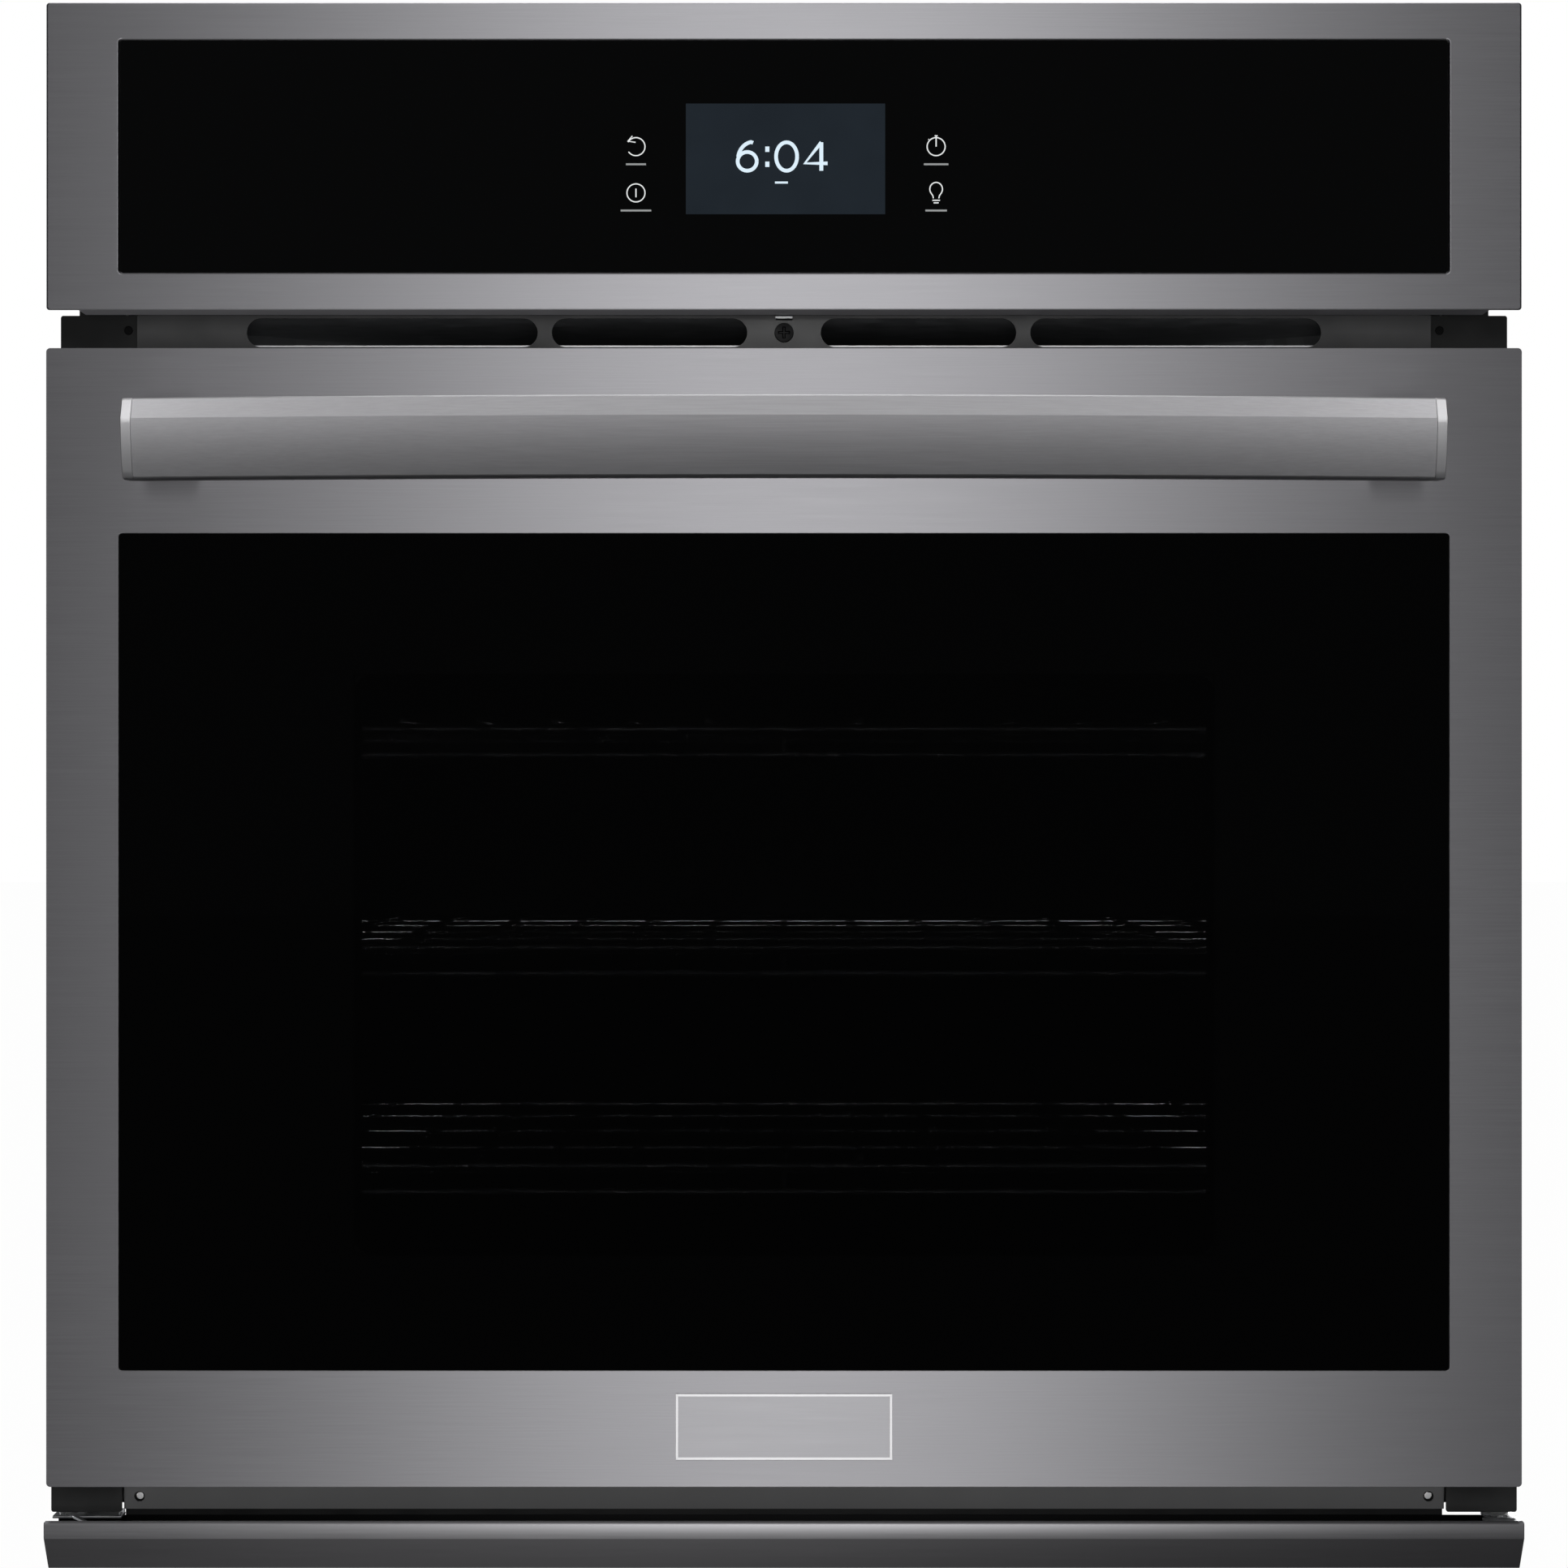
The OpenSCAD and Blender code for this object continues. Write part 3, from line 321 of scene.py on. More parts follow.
def cavity_enamel():
    """Porcelain enamel: dark blue-grey with fine light speckles of uneven size."""
    f = Finish("cavity_enamel").set(Coat_Weight=0.6, Coat_Roughness=0.08)
    size = f.span(f.noise(90, detail=1), 0.35, 0.65, 0.0006, 0.0022)
    distance = f.math("DIVIDE", f.cells(420), 420.0)
    speck = f.math("LESS_THAN", distance, f.math("MULTIPLY", size, 0.42))
    base = f.mix(f.noise(14, detail=3), (0.016, 0.020, 0.030), (0.026, 0.031, 0.043))
    base = f.mix(f.math("MULTIPLY", speck, 0.75), base, (0.33, 0.36, 0.41))
    f.set(Base_Color=base, Roughness=f.span(f.noise(50, detail=2), 0.3, 0.7, 0.22, 0.34))
    return f.bump(f.noise(260, detail=2), 0.06 * MM, 0.4).material


def insulation_wool():
    f = Finish("insulation_wool").set(Roughness=0.95, Sheen_Weight=0.35, Sheen_Roughness=0.6)
    fibres = f.noise(260, 260, 1900, detail=4, rough=0.7, twist=1.4)
    tufts = f.noise(38, detail=3)
    base = f.mix(f.span(fibres, 0.3, 0.7), (0.56, 0.47, 0.25), (0.86, 0.79, 0.55))
    base = f.mix(f.span(tufts, 0.35, 0.7, 0.0, 0.5), base, (0.70, 0.60, 0.33))
    f.set(Base_Color=base)
    return f.bump(f.math("ADD", fibres, tufts), 1.1 * MM, 0.8).material


def gasket_fibre():
    f = Finish("gasket_fibre").set(Roughness=0.9, Sheen_Weight=0.25, Sheen_Roughness=0.5)
    threads = f.noise(1500, detail=3, twist=0.8)
    f.set(Base_Color=f.mix(f.span(threads, 0.3, 0.7), (0.050, 0.052, 0.055), (0.15, 0.155, 0.16)))
    return f.bump(threads, 0.15 * MM, 0.7).material


def plated(name, colour, roughness, tint=(0.55, 0.50, 0.38)):
    """Zinc, nickel or chrome plate with slight stains."""
    f = Finish(name).set(Metallic=1.0)
    stain = f.noise(55, detail=4, rough=0.6)
    base = f.mix(f.span(stain, 0.45, 0.8, 0.0, 0.30), colour, tint)
    wear = f.noise(130, detail=3)
    f.set(Base_Color=base, Roughness=f.span(wear, 0.3, 0.7, roughness - 0.05, roughness + 0.07))
    return f.bump(f.noise(900, detail=2), 0.01 * MM, 0.3).material


def zinc_plate():
    return plated("zinc_plate", (0.66, 0.67, 0.69), 0.30)


def screw_steel():
    return plated("screw_steel", (0.50, 0.505, 0.515), 0.28, (0.40, 0.38, 0.34))


def rack_chrome():
    return plated("rack_chrome", (0.76, 0.77, 0.79), 0.14, (0.52, 0.47, 0.38))


def sensor_steel():
    return plated("sensor_steel", (0.60, 0.605, 0.61), 0.26, (0.46, 0.40, 0.30))


def fan_aluminium():
    return plated("fan_aluminium", (0.68, 0.69, 0.70), 0.36, (0.60, 0.58, 0.54))


def motor_steel():
    """Stacked laminations: fine bands along the motor's length, with dull cut edges."""
    f = Finish("motor_steel").set(Metallic=0.9)
    bands = f.math("MULTIPLY", f.waves("Y", 320), f.waves("Z", 320))
    base = f.mix(bands, (0.20, 0.205, 0.21), (0.36, 0.365, 0.37))
    base = f.mix(f.span(f.noise(40, detail=3), 0.5, 0.75, 0.0, 0.4), base, (0.22, 0.17, 0.13))
    f.set(Base_Color=base, Roughness=f.span(f.noise(200), 0.3, 0.7, 0.38, 0.55))
    return f.bump(bands, 0.05 * MM, 0.6).material


def heater_sheath():
    """Oxidised alloy tube with blue and brown heat colours."""
    f = Finish("heater_sheath").set(Metallic=0.75)
    heat = f.noise(16, detail=3)
    base = f.mix(f.span(heat, 0.38, 0.62), (0.075, 0.078, 0.090), (0.130, 0.110, 0.095))
    base = f.mix(f.span(f.noise(400, detail=3), 0.4, 0.8, 0.0, 0.4), base, (0.22, 0.22, 0.22))
    f.set(Base_Color=base, Roughness=f.span(f.noise(300, detail=2), 0.3, 0.7, 0.45, 0.68))
    return f.bump(f.noise(1200, detail=3), 0.03 * MM, 0.5).material


def black_glass():
    """Back-printed black glass."""
    f = Finish("black_glass").set(IOR=1.5, Specular_IOR_Level=0.5)
    f.set(Base_Color=f.mix(f.noise(6, detail=2), (0.0016, 0.0019, 0.0019), (0.0028, 0.0033, 0.0033)))
    f.set(Roughness=f.span(f.noise(25, detail=4), 0.35, 0.75, 0.02, 0.06))
    return f.material


def door_black_glass():
    """The door's outer pane: black print round a see-through window."""
    f = Finish("door_black_glass").set(IOR=1.5, Specular_IOR_Level=0.28)
    f.set(Base_Color=f.mix(f.noise(6, detail=2), (0.0006, 0.0007, 0.0007), (0.0012, 0.0014, 0.0014)))
    f.set(Roughness=f.span(f.noise(25, detail=4), 0.35, 0.75, 0.015, 0.05))
    low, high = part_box("middle_glass")
    inset = Vector((16 * MM, 0, 16 * MM))
    return f.window_alpha(low + inset, high - inset, 0.66).material


def window_glass():
    """Heat-reflecting pane: slight warm tint, mostly clear."""
    f = Finish("window_glass").set(IOR=1.5, Alpha=0.22)
    f.set(Base_Color=f.mix(f.noise(12, detail=2), (0.030, 0.034, 0.032), (0.050, 0.052, 0.046)))
    f.set(Roughness=f.span(f.noise(40, detail=4), 0.35, 0.75, 0.02, 0.07))
    return f.material


def lamp_glass():
    f = Finish("lamp_glass").set(IOR=1.5, Transmission_Weight=1.0, Base_Color=(0.93, 0.95, 0.95))
    ripple = f.noise(160, detail=2)
    f.set(Roughness=f.span(ripple, 0.3, 0.7, 0.02, 0.10))
    return f.bump(ripple, 0.3 * MM, 0.5).material


def lamp_ceramic():
    f = Finish("lamp_ceramic").set(Coat_Weight=0.2, Coat_Roughness=0.3)
    f.set(Base_Color=f.mix(f.noise(80, detail=3), (0.62, 0.59, 0.52), (0.78, 0.76, 0.70)))
    f.set(Roughness=f.span(f.noise(300), 0.3, 0.7, 0.5, 0.7))
    return f.bump(f.noise(500, detail=2), 0.05 * MM, 0.5).material


def white_plastic():
    f = Finish("white_plastic")
    f.set(Base_Color=f.mix(f.noise(60, detail=2), (0.74, 0.74, 0.71), (0.82, 0.82, 0.80)))
    f.set(Roughness=f.span(f.noise(500, detail=2), 0.3, 0.7, 0.42, 0.58))
    return f.bump(f.noise(900, detail=2), 0.02 * MM, 0.5).material


def circuit_board():
    """Green solder mask with lighter tracks, under dark components."""
    f = Finish("circuit_board")
    tracks = f.math("LESS_THAN", f.cells(140, feature="DISTANCE_TO_EDGE", randomness=0.55), 0.09)
    base = f.mix(f.noise(30), (0.010, 0.075, 0.035), (0.018, 0.110, 0.052))
    base = f.mix(f.math("MULTIPLY", tracks, 0.7), base, (0.075, 0.26, 0.13))
    raised = f.math("GREATER_THAN", f.axis("Z"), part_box("control_board")[0].z + 5.6 * MM)
    low_enough = f.math("LESS_THAN", f.axis("Z"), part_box("control_board")[1].z + 1 * MM)
    behind = f.math("GREATER_THAN", f.axis("Y"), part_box("touch_board")[1].y + 1 * MM)
    part = f.math("MULTIPLY", f.math("MULTIPLY", raised, low_enough), behind)
    f.set(Base_Color=f.mix(part, base, (0.020, 0.021, 0.023)))
    f.set(Roughness=f.span(f.noise(200, detail=2), 0.3, 0.7, 0.30, 0.45))
    return f.bump(tracks, 0.04 * MM, 0.5).material


def display_case():
    """Moulded black bezel of the display."""
    f = Finish("display_case")
    f.set(Base_Color=f.mix(f.noise(80), (0.012, 0.015, 0.020), (0.020, 0.024, 0.030)))
    f.set(Roughness=f.span(f.noise(400), 0.3, 0.7, 0.35, 0.5))
    return f.bump(f.noise(900), 0.02 * MM, 0.4).material


def lit(name, colour, strength, grain=0.06):
    """A lit patch under glass, or printed marks given the same glow as painted light: even light with very
    slight unevenness.
    """
    f = Finish(name).set(Roughness=0.08, Emission_Strength=strength)
    uneven = f.span(f.noise(45, detail=2), 0.3, 0.7)
    f.set(Base_Color=f.mix(uneven, tone(colour, 0.10), tone(colour, 0.14)))
    f.set(Emission_Color=f.mix(uneven, tone(colour, 1 - grain), tone(colour, 1 + grain)))
    return f.material


FINISHES = {
    "galvanized_sheet": galvanized_sheet, "black_enamel": black_enamel, "cavity_enamel": cavity_enamel,
    "insulation_wool": insulation_wool, "gasket_fibre": gasket_fibre, "dark_grey_steel": dark_grey_steel,
    "black_stainless": black_stainless, "zinc_plate": zinc_plate, "screw_steel": screw_steel,
    "black_glass": black_glass, "window_glass": window_glass, "display": display_case,
    "circuit_board": circuit_board, "heater_sheath": heater_sheath, "motor_steel": motor_steel,
    "fan_aluminium": fan_aluminium, "lamp_ceramic": lamp_ceramic, "lamp_glass": lamp_glass,
    "sensor_steel": sensor_steel, "white_plastic": white_plastic, "glass_carrier": glass_carrier,
    "badge_metal": badge_metal, "rack_chrome": rack_chrome,
}
made_finish = {}


def finish_for(slot):
    if slot not in made_finish:
        made_finish[slot] = FINISHES[slot]()
    return made_finish[slot]


for part_name, cad in nodes.items():
    for material_slot in cad.material_slots:
        material_slot.material = finish_for(slot_of[part_name])


# ---- pieces --------------------------------------------------------------------------------------

def add_piece(name, mesh, material, body, replaces=(), smooth=None, flat_faces=False):
    """Puts a finished mesh into the scene as a piece that rides on a CAD body."""
    if smooth is not None:
        mesh.shade_smooth()
        mesh.set_sharp_from_angle(angle=math.radians(smooth))
    mesh.materials.clear()
    mesh.materials.append(material)
    piece = bpy.data.objects.new(name, mesh)
    bpy.context.scene.collection.objects.link(piece)
    if flat_faces:
        weighted = piece.modifiers.new("flat_faces", "WEIGHTED_NORMAL")
        weighted.keep_sharp = True
        weighted.weight = 100
    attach(piece, body)
    if replaces:
        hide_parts(*replaces)
    return piece


def mesh_from(name, points, faces):
    mesh = bpy.data.meshes.new(name)
    mesh.from_pydata([tuple(p) for p in points], [], faces)
    mesh.validate()
    bm = bmesh.new()
    bm.from_mesh(mesh)
    bmesh.ops.recalc_face_normals(bm, faces=bm.faces)
    bm.to_mesh(mesh)
    bm.free()
    return mesh


def loft(name, rings, closed_along=False, capped=True):
    """Skin through rings of equal length; each ring is a closed loop of points."""
    count = len(rings[0])
    points = [p for ring in rings for p in ring]
    faces = []
    last = len(rings) if closed_along else len(rings) - 1
    for i in range(last):
        a, b = i * count, (i + 1) % len(rings) * count
        for k in range(count):
            n = (k + 1) % count
            faces.append((a + k, a + n, b + n, b + k))
    if capped and not closed_along:
        faces.append(tuple(range(count)))
        faces.append(tuple(reversed(range(len(points) - count, len(points)))))
    return mesh_from(name, points, faces)


def joined(name, meshes):
    """One mesh from several."""
    bm = bmesh.new()
    for mesh in meshes:
        bm.from_mesh(mesh)
    whole = bpy.data.meshes.new(name)
    bm.to_mesh(whole)
    bm.free()
    return whole


def rounded_copy(node, name, width, pick=None, segments=3, smooth=35, material=None):
    """A new piece with the CAD node's shape and its hard edges rounded. pick(middle) chooses the edges."""
    bm = bmesh.new()
    bm.from_mesh(nodes[node].data)
    bmesh.ops.remove_doubles(bm, verts=bm.verts, dist=0.002 * MM)
    bmesh.ops.dissolve_limit(bm, angle_limit=math.radians(0.4), verts=bm.verts, edges=bm.edges)
    hard = []
    least_angle = math.radians(40)
    for edge in bm.edges:
        middle = (edge.verts[0].co + edge.verts[1].co) / 2
        if edge.is_manifold and edge.calc_face_angle(0) > least_angle and (pick is None or pick(middle)):
            hard.append(edge)
    bmesh.ops.bevel(bm, geom=hard, offset=width, offset_type="OFFSET", segments=segments, profile=0.5,
                    affect="EDGES", clamp_overlap=True)
    mesh = bpy.data.meshes.new(name)
    bm.to_mesh(mesh)
    bm.free()
    slot = slot_of[node]
    body = nodes[node]["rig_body"]
    return add_piece(name, mesh, material or finish_for(slot), body, [node], smooth, flat_faces=True)


def front_edge(y):
    """Chooses the edges that lie in the plane at depth y."""
    return lambda middle: abs(middle.y - y) < 0.05 * MM


def metal_fronts():
    """Door skin, control panel and trims with softly folded edges."""
    fold = 0.9 * MM
    rounded_copy("door_skin", "door_skin_folded", fold, front_edge(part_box("door_skin")[0].y),
                 material=door_steel())
    rounded_copy("control_fascia", "control_fascia_folded", fold, front_edge(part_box("control_fascia")[0].y))
    rounded_copy("bottom_trim", "bottom_trim_folded", 0.35 * MM, material=trim_steel())
    rounded_copy("lower_strip", "lower_strip_folded", 0.3 * MM, material=strip_grey_painted_light())
    rounded_copy("vent_plate", "vent_plate_pressed", 0.35 * MM, front_edge(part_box("vent_plate")[0].y))
    black = trim_black()
    rounded_copy("side_trim_left", "side_trim_left_folded", 0.25 * MM, material=black)
    rounded_copy("side_trim_right", "side_trim_right_folded", 0.25 * MM, material=black)
    rounded_copy("bottom_trim_brackets", "bottom_trim_brackets_folded", 0.25 * MM)
    rounded_copy("chassis_screws", "chassis_screw_heads", 0.4 * MM, segments=2, material=front_screws())


def glass_panes():
    """The control glass and the door's three panes, with ground edges."""
    rounded_copy("control_glass", "control_glass_ground", 0.35 * MM)
    rounded_copy("door_glass", "door_glass_ground", 0.35 * MM, material=door_black_glass())
    for node in ("middle_glass", "inner_glass"):
        rounded_copy(node, node + "_ground", 0.4 * MM)


def bar_outline(depth, height):
    """The handle's section, outward across and up along: flat back, bevelled top, face rolling back below."""
    half = height / 2
    back_round = 2 * MM
    fillet = 0.6 * MM
    rolled = 4 * MM
    top_flat = depth - 4.2 * MM
    crease_share = 0.25
    rolled_share = 0.72
    crease = crease_share * height
    outline = [(0, -half + back_round), (0, half - back_round)]
    outline += [(back_round * (1 - math.cos(a)), half - back_round * (1 - math.sin(a)))
                for a in (math.pi / 8 * k for k in range(1, 5))]
    outline += [(top_flat, half), (top_flat + 0.7 * MM, half - 0.15 * MM)]
    outline += [(top_flat + 1.15 * MM, half - 0.6 * MM)]
    outline += [(depth - 0.55 * fillet, crease + fillet), (depth, crease - 0.4 * fillet)]
    steps = 18
    for k in range(1, steps + 1):
        a = k / steps
        outline.append((depth - rolled * a * a, height * (crease_share - rolled_share * a)))
    outline += [(depth - 4.9 * MM, -half + 0.35 * MM), (depth - 5.8 * MM, -half), (back_round, -half)]
    return outline


def arc_of_bar():
    """Centre and radius of the bar's bow, its section and the angle to each end, from the CAD bar's box."""
    low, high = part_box("handle_bar")
    depth = 18 * MM
    height = high.z - low.z
    half = (high.x - low.x) / 2
    bow = high.y - low.y - depth
    radius = (half * half + bow * bow) / (2 * bow)
    centre = Vector((0, low.y + radius, (low.z + high.z) / 2))
    return centre, radius, depth, height, math.asin(half / radius)


def bar_ring(centre, radius, depth, outline, angle):
    """The section placed on the bow at an angle from the middle."""
    return [centre + Vector((math.sin(angle) * (radius - depth + out),
                             -math.cos(angle) * (radius - depth + out), up)) for out, up in outline]


def handle():
    """Bowed bar drawn through its section, with capped ends and its two standoffs."""
    centre, radius, depth, height, end = arc_of_bar()
    outline = bar_outline(depth, height)
    steps = 72
    end -= 0.02 * MM / radius
    rings = [bar_ring(centre, radius, depth, outline, end * (2 * i / steps - 1)) for i in range(steps + 1)]
    add_piece("handle_bar_drawn", loft("handle_bar_drawn", rings), bar_metal(), "door",
              ["handle_bar"], smooth=12)
    rounded_copy("handle_end_caps", "handle_end_caps_cast", 0.45 * MM, material=handle_cap_metal())
    rounded_copy("handle_posts", "handle_posts_turned", 0.4 * MM)


def badge():
    """Plain blank plate low on the door, with a raised bright rim."""
    low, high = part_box("badge")
    rounded_copy("badge", "badge_plate", 0.3 * MM)
    face = low.y
    rim = 1.15 * MM
    lift = 0.12 * MM

    def plate(name, x0, x1, z0, z1):
        bm = bmesh.new()
        bmesh.ops.create_cube(bm, size=1)
        middle = Vector(((x0 + x1) / 2, face - lift / 2 + 0.01 * MM, (z0 + z1) / 2))
        bm.transform(Matrix.Translation(middle) @ Matrix.Diagonal((x1 - x0, lift, z1 - z0, 1)))
        bmesh.ops.bevel(bm, geom=bm.edges[:], offset=0.05 * MM, segments=2, profile=0.5, affect="EDGES")
        mesh = bpy.data.meshes.new(name)
        bm.to_mesh(mesh)
        bm.free()
        return mesh

    parts = [
        plate("rim_top", low.x, high.x, high.z - rim, high.z),
        plate("rim_bottom", low.x, high.x, low.z, low.z + rim),
        plate("rim_left", low.x, low.x + rim, low.z + rim, high.z - rim),
        plate("rim_right", high.x - rim, high.x, low.z + rim, high.z - rim),
    ]
    add_piece("badge_rim", joined("badge_rim", parts), badge_bright(), "door", smooth=35,
              flat_faces=True)


# ---- clock and touch symbols ---------------------------------------------------------------------

def arc(x, z, rx, rz, start, end, steps=28):
    """Points along part of an ellipse, angles in degrees from +X towards +Z."""
    angles = [math.radians(start + (end - start) * k / steps) for k in range(steps + 1)]
    return [(x + rx * math.cos(a), z + rz * math.sin(a)) for a in angles]


def strokes(name, lines, width, y, body, material):
    """Printed strokes on a surface at depth y: each line is a list of (x, z) points in metres."""
    curve = bpy.data.curves.new(name, "CURVE")
    curve.dimensions = "3D"
    curve.bevel_depth = width / 2
    curve.bevel_resolution = 3
    curve.use_fill_caps = True
    for line in lines:
        spline = curve.splines.new("POLY")
        spline.points.add(len(line) - 1)
        for point, (x, z) in zip(spline.points, line):
            point.co = (x, 0, z, 1)
    holder = bpy.data.objects.new(name + "_curve", curve)
    bpy.context.scene.collection.objects.link(holder)
    bpy.context.view_layer.update()
    mesh = bpy.data.meshes.new_from_object(holder.evaluated_get(bpy.context.evaluated_depsgraph_get()))
    bpy.data.objects.remove(holder)
    flat = 0.06 * MM / width
    for vertex in mesh.vertices:
        vertex.co.y = y + vertex.co.y * flat
    return add_piece(name, mesh, material, body, smooth=60)


def digit_six(x, z, h):
    r = 0.33 * h
    bowl = arc(x, z - h / 2 + r, r * 1.02, r, 0, 360)
    tip = (x + 0.62 * r, z + h / 2 - 0.02 * h)
    stem = arc(x + 0.70 * r, z - 0.10 * h, 1.68 * r, 0.62 * h, 100, 172, 14)
    return [bowl, [tip] + stem]


def digit_zero(x, z, h):
    return [arc(x, z, 0.37 * h, 0.5 * h, 0, 360, 40)]


def digit_four(x, z, h):
    return [
        [(x + 0.42 * h, z - 0.24 * h), (x - 0.38 * h, z - 0.24 * h), (x + 0.20 * h, z + 0.5 * h)],
        [(x + 0.20 * h, z + 0.5 * h), (x + 0.20 * h, z - 0.5 * h)],
    ]


def clock():
    """Lit display field with a clock reading, flush with the control glass."""
    glass_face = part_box("control_glass")[0].y
    case_low, case_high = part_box("display_module")
    side = 3.7 * MM
    shift = 0.7 * MM
    half_height = 25.7 * MM
    middle = (case_low.z + case_high.z) / 2
    x0, x1 = case_low.x + side + shift, case_high.x - side + shift
    z0, z1 = middle - half_height, middle + half_height
    thick = 0.05 * MM
    field = lit("display_field", (0.0125, 0.0175, 0.0235), 1.0)
    ring = [(x0, z0), (x1, z0), (x1, z1), (x0, z1)]
    rows = [[Vector((x, y, z)) for x, z in ring] for y in (glass_face - thick, glass_face + thick)]
    mesh = loft("display_field", rows)
    add_piece("display_field", mesh, field, "chassis")
    figures = lit("clock_figures", (0.72, 0.86, 0.96), 1.0, 0.03)
    digit_height = 13.2 * MM
    digit_middle = middle + 1.1 * MM
    mark_z = middle - 11.0 * MM
    lines = digit_six(-17.1 * MM, digit_middle, digit_height)
    lines += digit_zero(1.2 * MM, digit_middle, digit_height)
    lines += digit_four(14.7 * MM, digit_middle, digit_height)
    strokes("clock_digits", lines, 1.8 * MM, glass_face - thick, "chassis", figures)
    dots = [[(-8.7 * MM, digit_middle + z * MM), (-6.8 * MM, digit_middle + z * MM)] for z in (-3.6, 3.4)]
    strokes("clock_colon", dots, 2.6 * MM, glass_face - thick, "chassis", figures)
    mark = [[(-4.2 * MM, mark_z), (1.8 * MM, mark_z)]]
    strokes("clock_half_day_mark", mark, 1.0 * MM, glass_face - thick, "chassis", figures)


def touch_symbols():
    """Four printed symbols, each over a short plain bar; the print glows as painted light."""
    glass_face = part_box("control_glass")[0].y
    # Painted light: the white print and grey bars glow at strength 1 instead of being lit by the lamps.
    print_white_painted_glow = lit("symbol_print_painted_glow", (0.80, 0.82, 0.82), 1.0, 0.02)
    print_grey_painted_glow = lit("symbol_bar_print_painted_glow", (0.30, 0.31, 0.31), 1.0, 0.02)
    left, right = -68.8 * MM, 70.7 * MM
    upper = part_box("touch_board")[0].z + 47.2 * MM
    lower = upper - 21.5 * MM
    radius = 4.2 * MM
    line = 0.56 * MM
    face = glass_face - 0.02 * MM
    bar_drop = 8.2 * MM
    bar_width = 0.9 * MM

    def drawn(x, z, *paths):
        """Paths in units of the symbol's radius, moved to its centre."""
        return [[(x + px * radius, z + pz * radius) for px, pz in path] for path in paths]

    back = drawn(left, upper, arc(0, 0, 1, 1, 150, -145),
                 [(-0.40, 1.18), (-0.92, 0.60), (-0.05, 0.48)])
    power = drawn(left, lower, arc(0, 0, 1, 1, 0, 360), [(0, 0.48), (0, -0.48)])
    timer = drawn(right, upper, arc(0, 0, 1, 1, 0, 360), [(0, 1.22), (0, 0)], [(-0.16, 1.20), (0.16, 1.20)],
                  [(-0.86, 0.84), (-0.80, 0.78)])
    globe = arc(0, 0.42, 0.70, 0.74, -35, 215)
    bulb = drawn(right, lower, [(0.30, -0.60), (0.36, -0.32)] + globe + [(-0.36, -0.32), (-0.30, -0.60)],
                 [(-0.42, -0.82), (0.42, -0.82)], [(-0.28, -1.10), (0.28, -1.10)])
    symbols = {"symbol_back": back, "symbol_power": power, "symbol_timer": timer, "symbol_lamp": bulb}
    for name, lines in symbols.items():
        strokes(name, lines, line, face, "chassis", print_white_painted_glow)
    bars = []
    for x, z, length in ((left, upper, 9.3), (left, lower, 14.2), (right, upper, 11.4), (right, lower, 10.0)):
        half = length * MM / 2
        bars.append([(x - half, z - bar_drop), (x + half, z - bar_drop)])
    strokes("symbol_bars", bars, bar_width, face, "chassis", print_grey_painted_glow)


# ---- gasket, springs, wool -----------------------------------------------------------------------

def round_rect_path(x, z0, z1, bend, spacing):
    """Points and outward directions round a rectangle with bent corners, about spacing apart."""
    middle = (z0 + z1) / 2
    half = (z1 - z0) / 2
    path = []

    def straight(start, end, out):
        count = max(1, round((end - start).length / spacing))
        path.extend((start.lerp(end, k / count), out) for k in range(count))

    corners = [(1, 1, 0), (-1, 1, 90), (-1, -1, 180), (1, -1, 270)]
    turn = max(8, round(bend * math.pi / 2 / spacing))
    for index, (sx, sz, start) in enumerate(corners):
        heart = Vector((sx * (x - bend), 0, middle + sz * (half - bend)))
        for k in range(turn):
            a = math.radians(start + 90 * k / turn)
            out = Vector((math.cos(a), 0, math.sin(a)))
            path.append((heart + out * bend, out))
        a = math.radians(start + 90)
        out = Vector((round(math.cos(a)), 0, round(math.sin(a))))
        nx, nz, _ = corners[(index + 1) % 4]
        following = Vector((nx * (x - bend), 0, middle + nz * (half - bend)))
        straight(heart + out * bend, following + out * bend, out)
    return path


def door_gasket():
    """Braided glass-fibre rope on its clip strip, all round the cavity's mouth."""
    low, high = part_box("door_gasket")
    bead = 2.8 * MM
    strip = 3.5 * MM
    x = high.x - strip
    z0, z1 = low.z + strip, high.z - strip
    bend = 22 * MM
    heart_y = low.y + bead
    spacing = 1.1 * MM
    braid_length = 8.5 * MM
    strip_half = 0.6 * MM
    path = round_rect_path(x, z0, z1, bend, spacing)
    sides = 20
    strands = 5
    rings = []
    count = len(path)
    crossings = round(count * spacing / braid_length)
    for i, (point, out) in enumerate(path):
        ring = []
        for k in range(sides):
            a = 2 * math.pi * k / sides
            turn = 2 * math.pi * crossings * i / count
            weave = max(math.cos(strands * a + turn), math.cos(strands * a - turn))
            r = bead * (0.90 + 0.10 * weave)
            ring.append(point + Vector((0, heart_y + r * math.sin(a), 0)) + out * (r * math.cos(a)))
        rings.append(ring)
    rope = loft("gasket_rope", rings, closed_along=True)
    flat = []
    for point, out in round_rect_path(x, z0, z1, bend, 9 * MM):
        base = point + Vector((0, high.y - strip_half, 0))
        flat.append([base + out * (dx * strip) + Vector((0, dy * strip_half, 0))
                     for dx, dy in ((1, 0.6), (0.9, 1), (-0.9, 1), (-1, 0.6), (-1, -1), (1, -1))])
    clip = loft("gasket_clip", flat, closed_along=True)
    add_piece("door_gasket_braid", joined("door_gasket_braid", [rope, clip]), finish_for("gasket_fibre"),
              "chassis", ["door_gasket"], smooth=50)


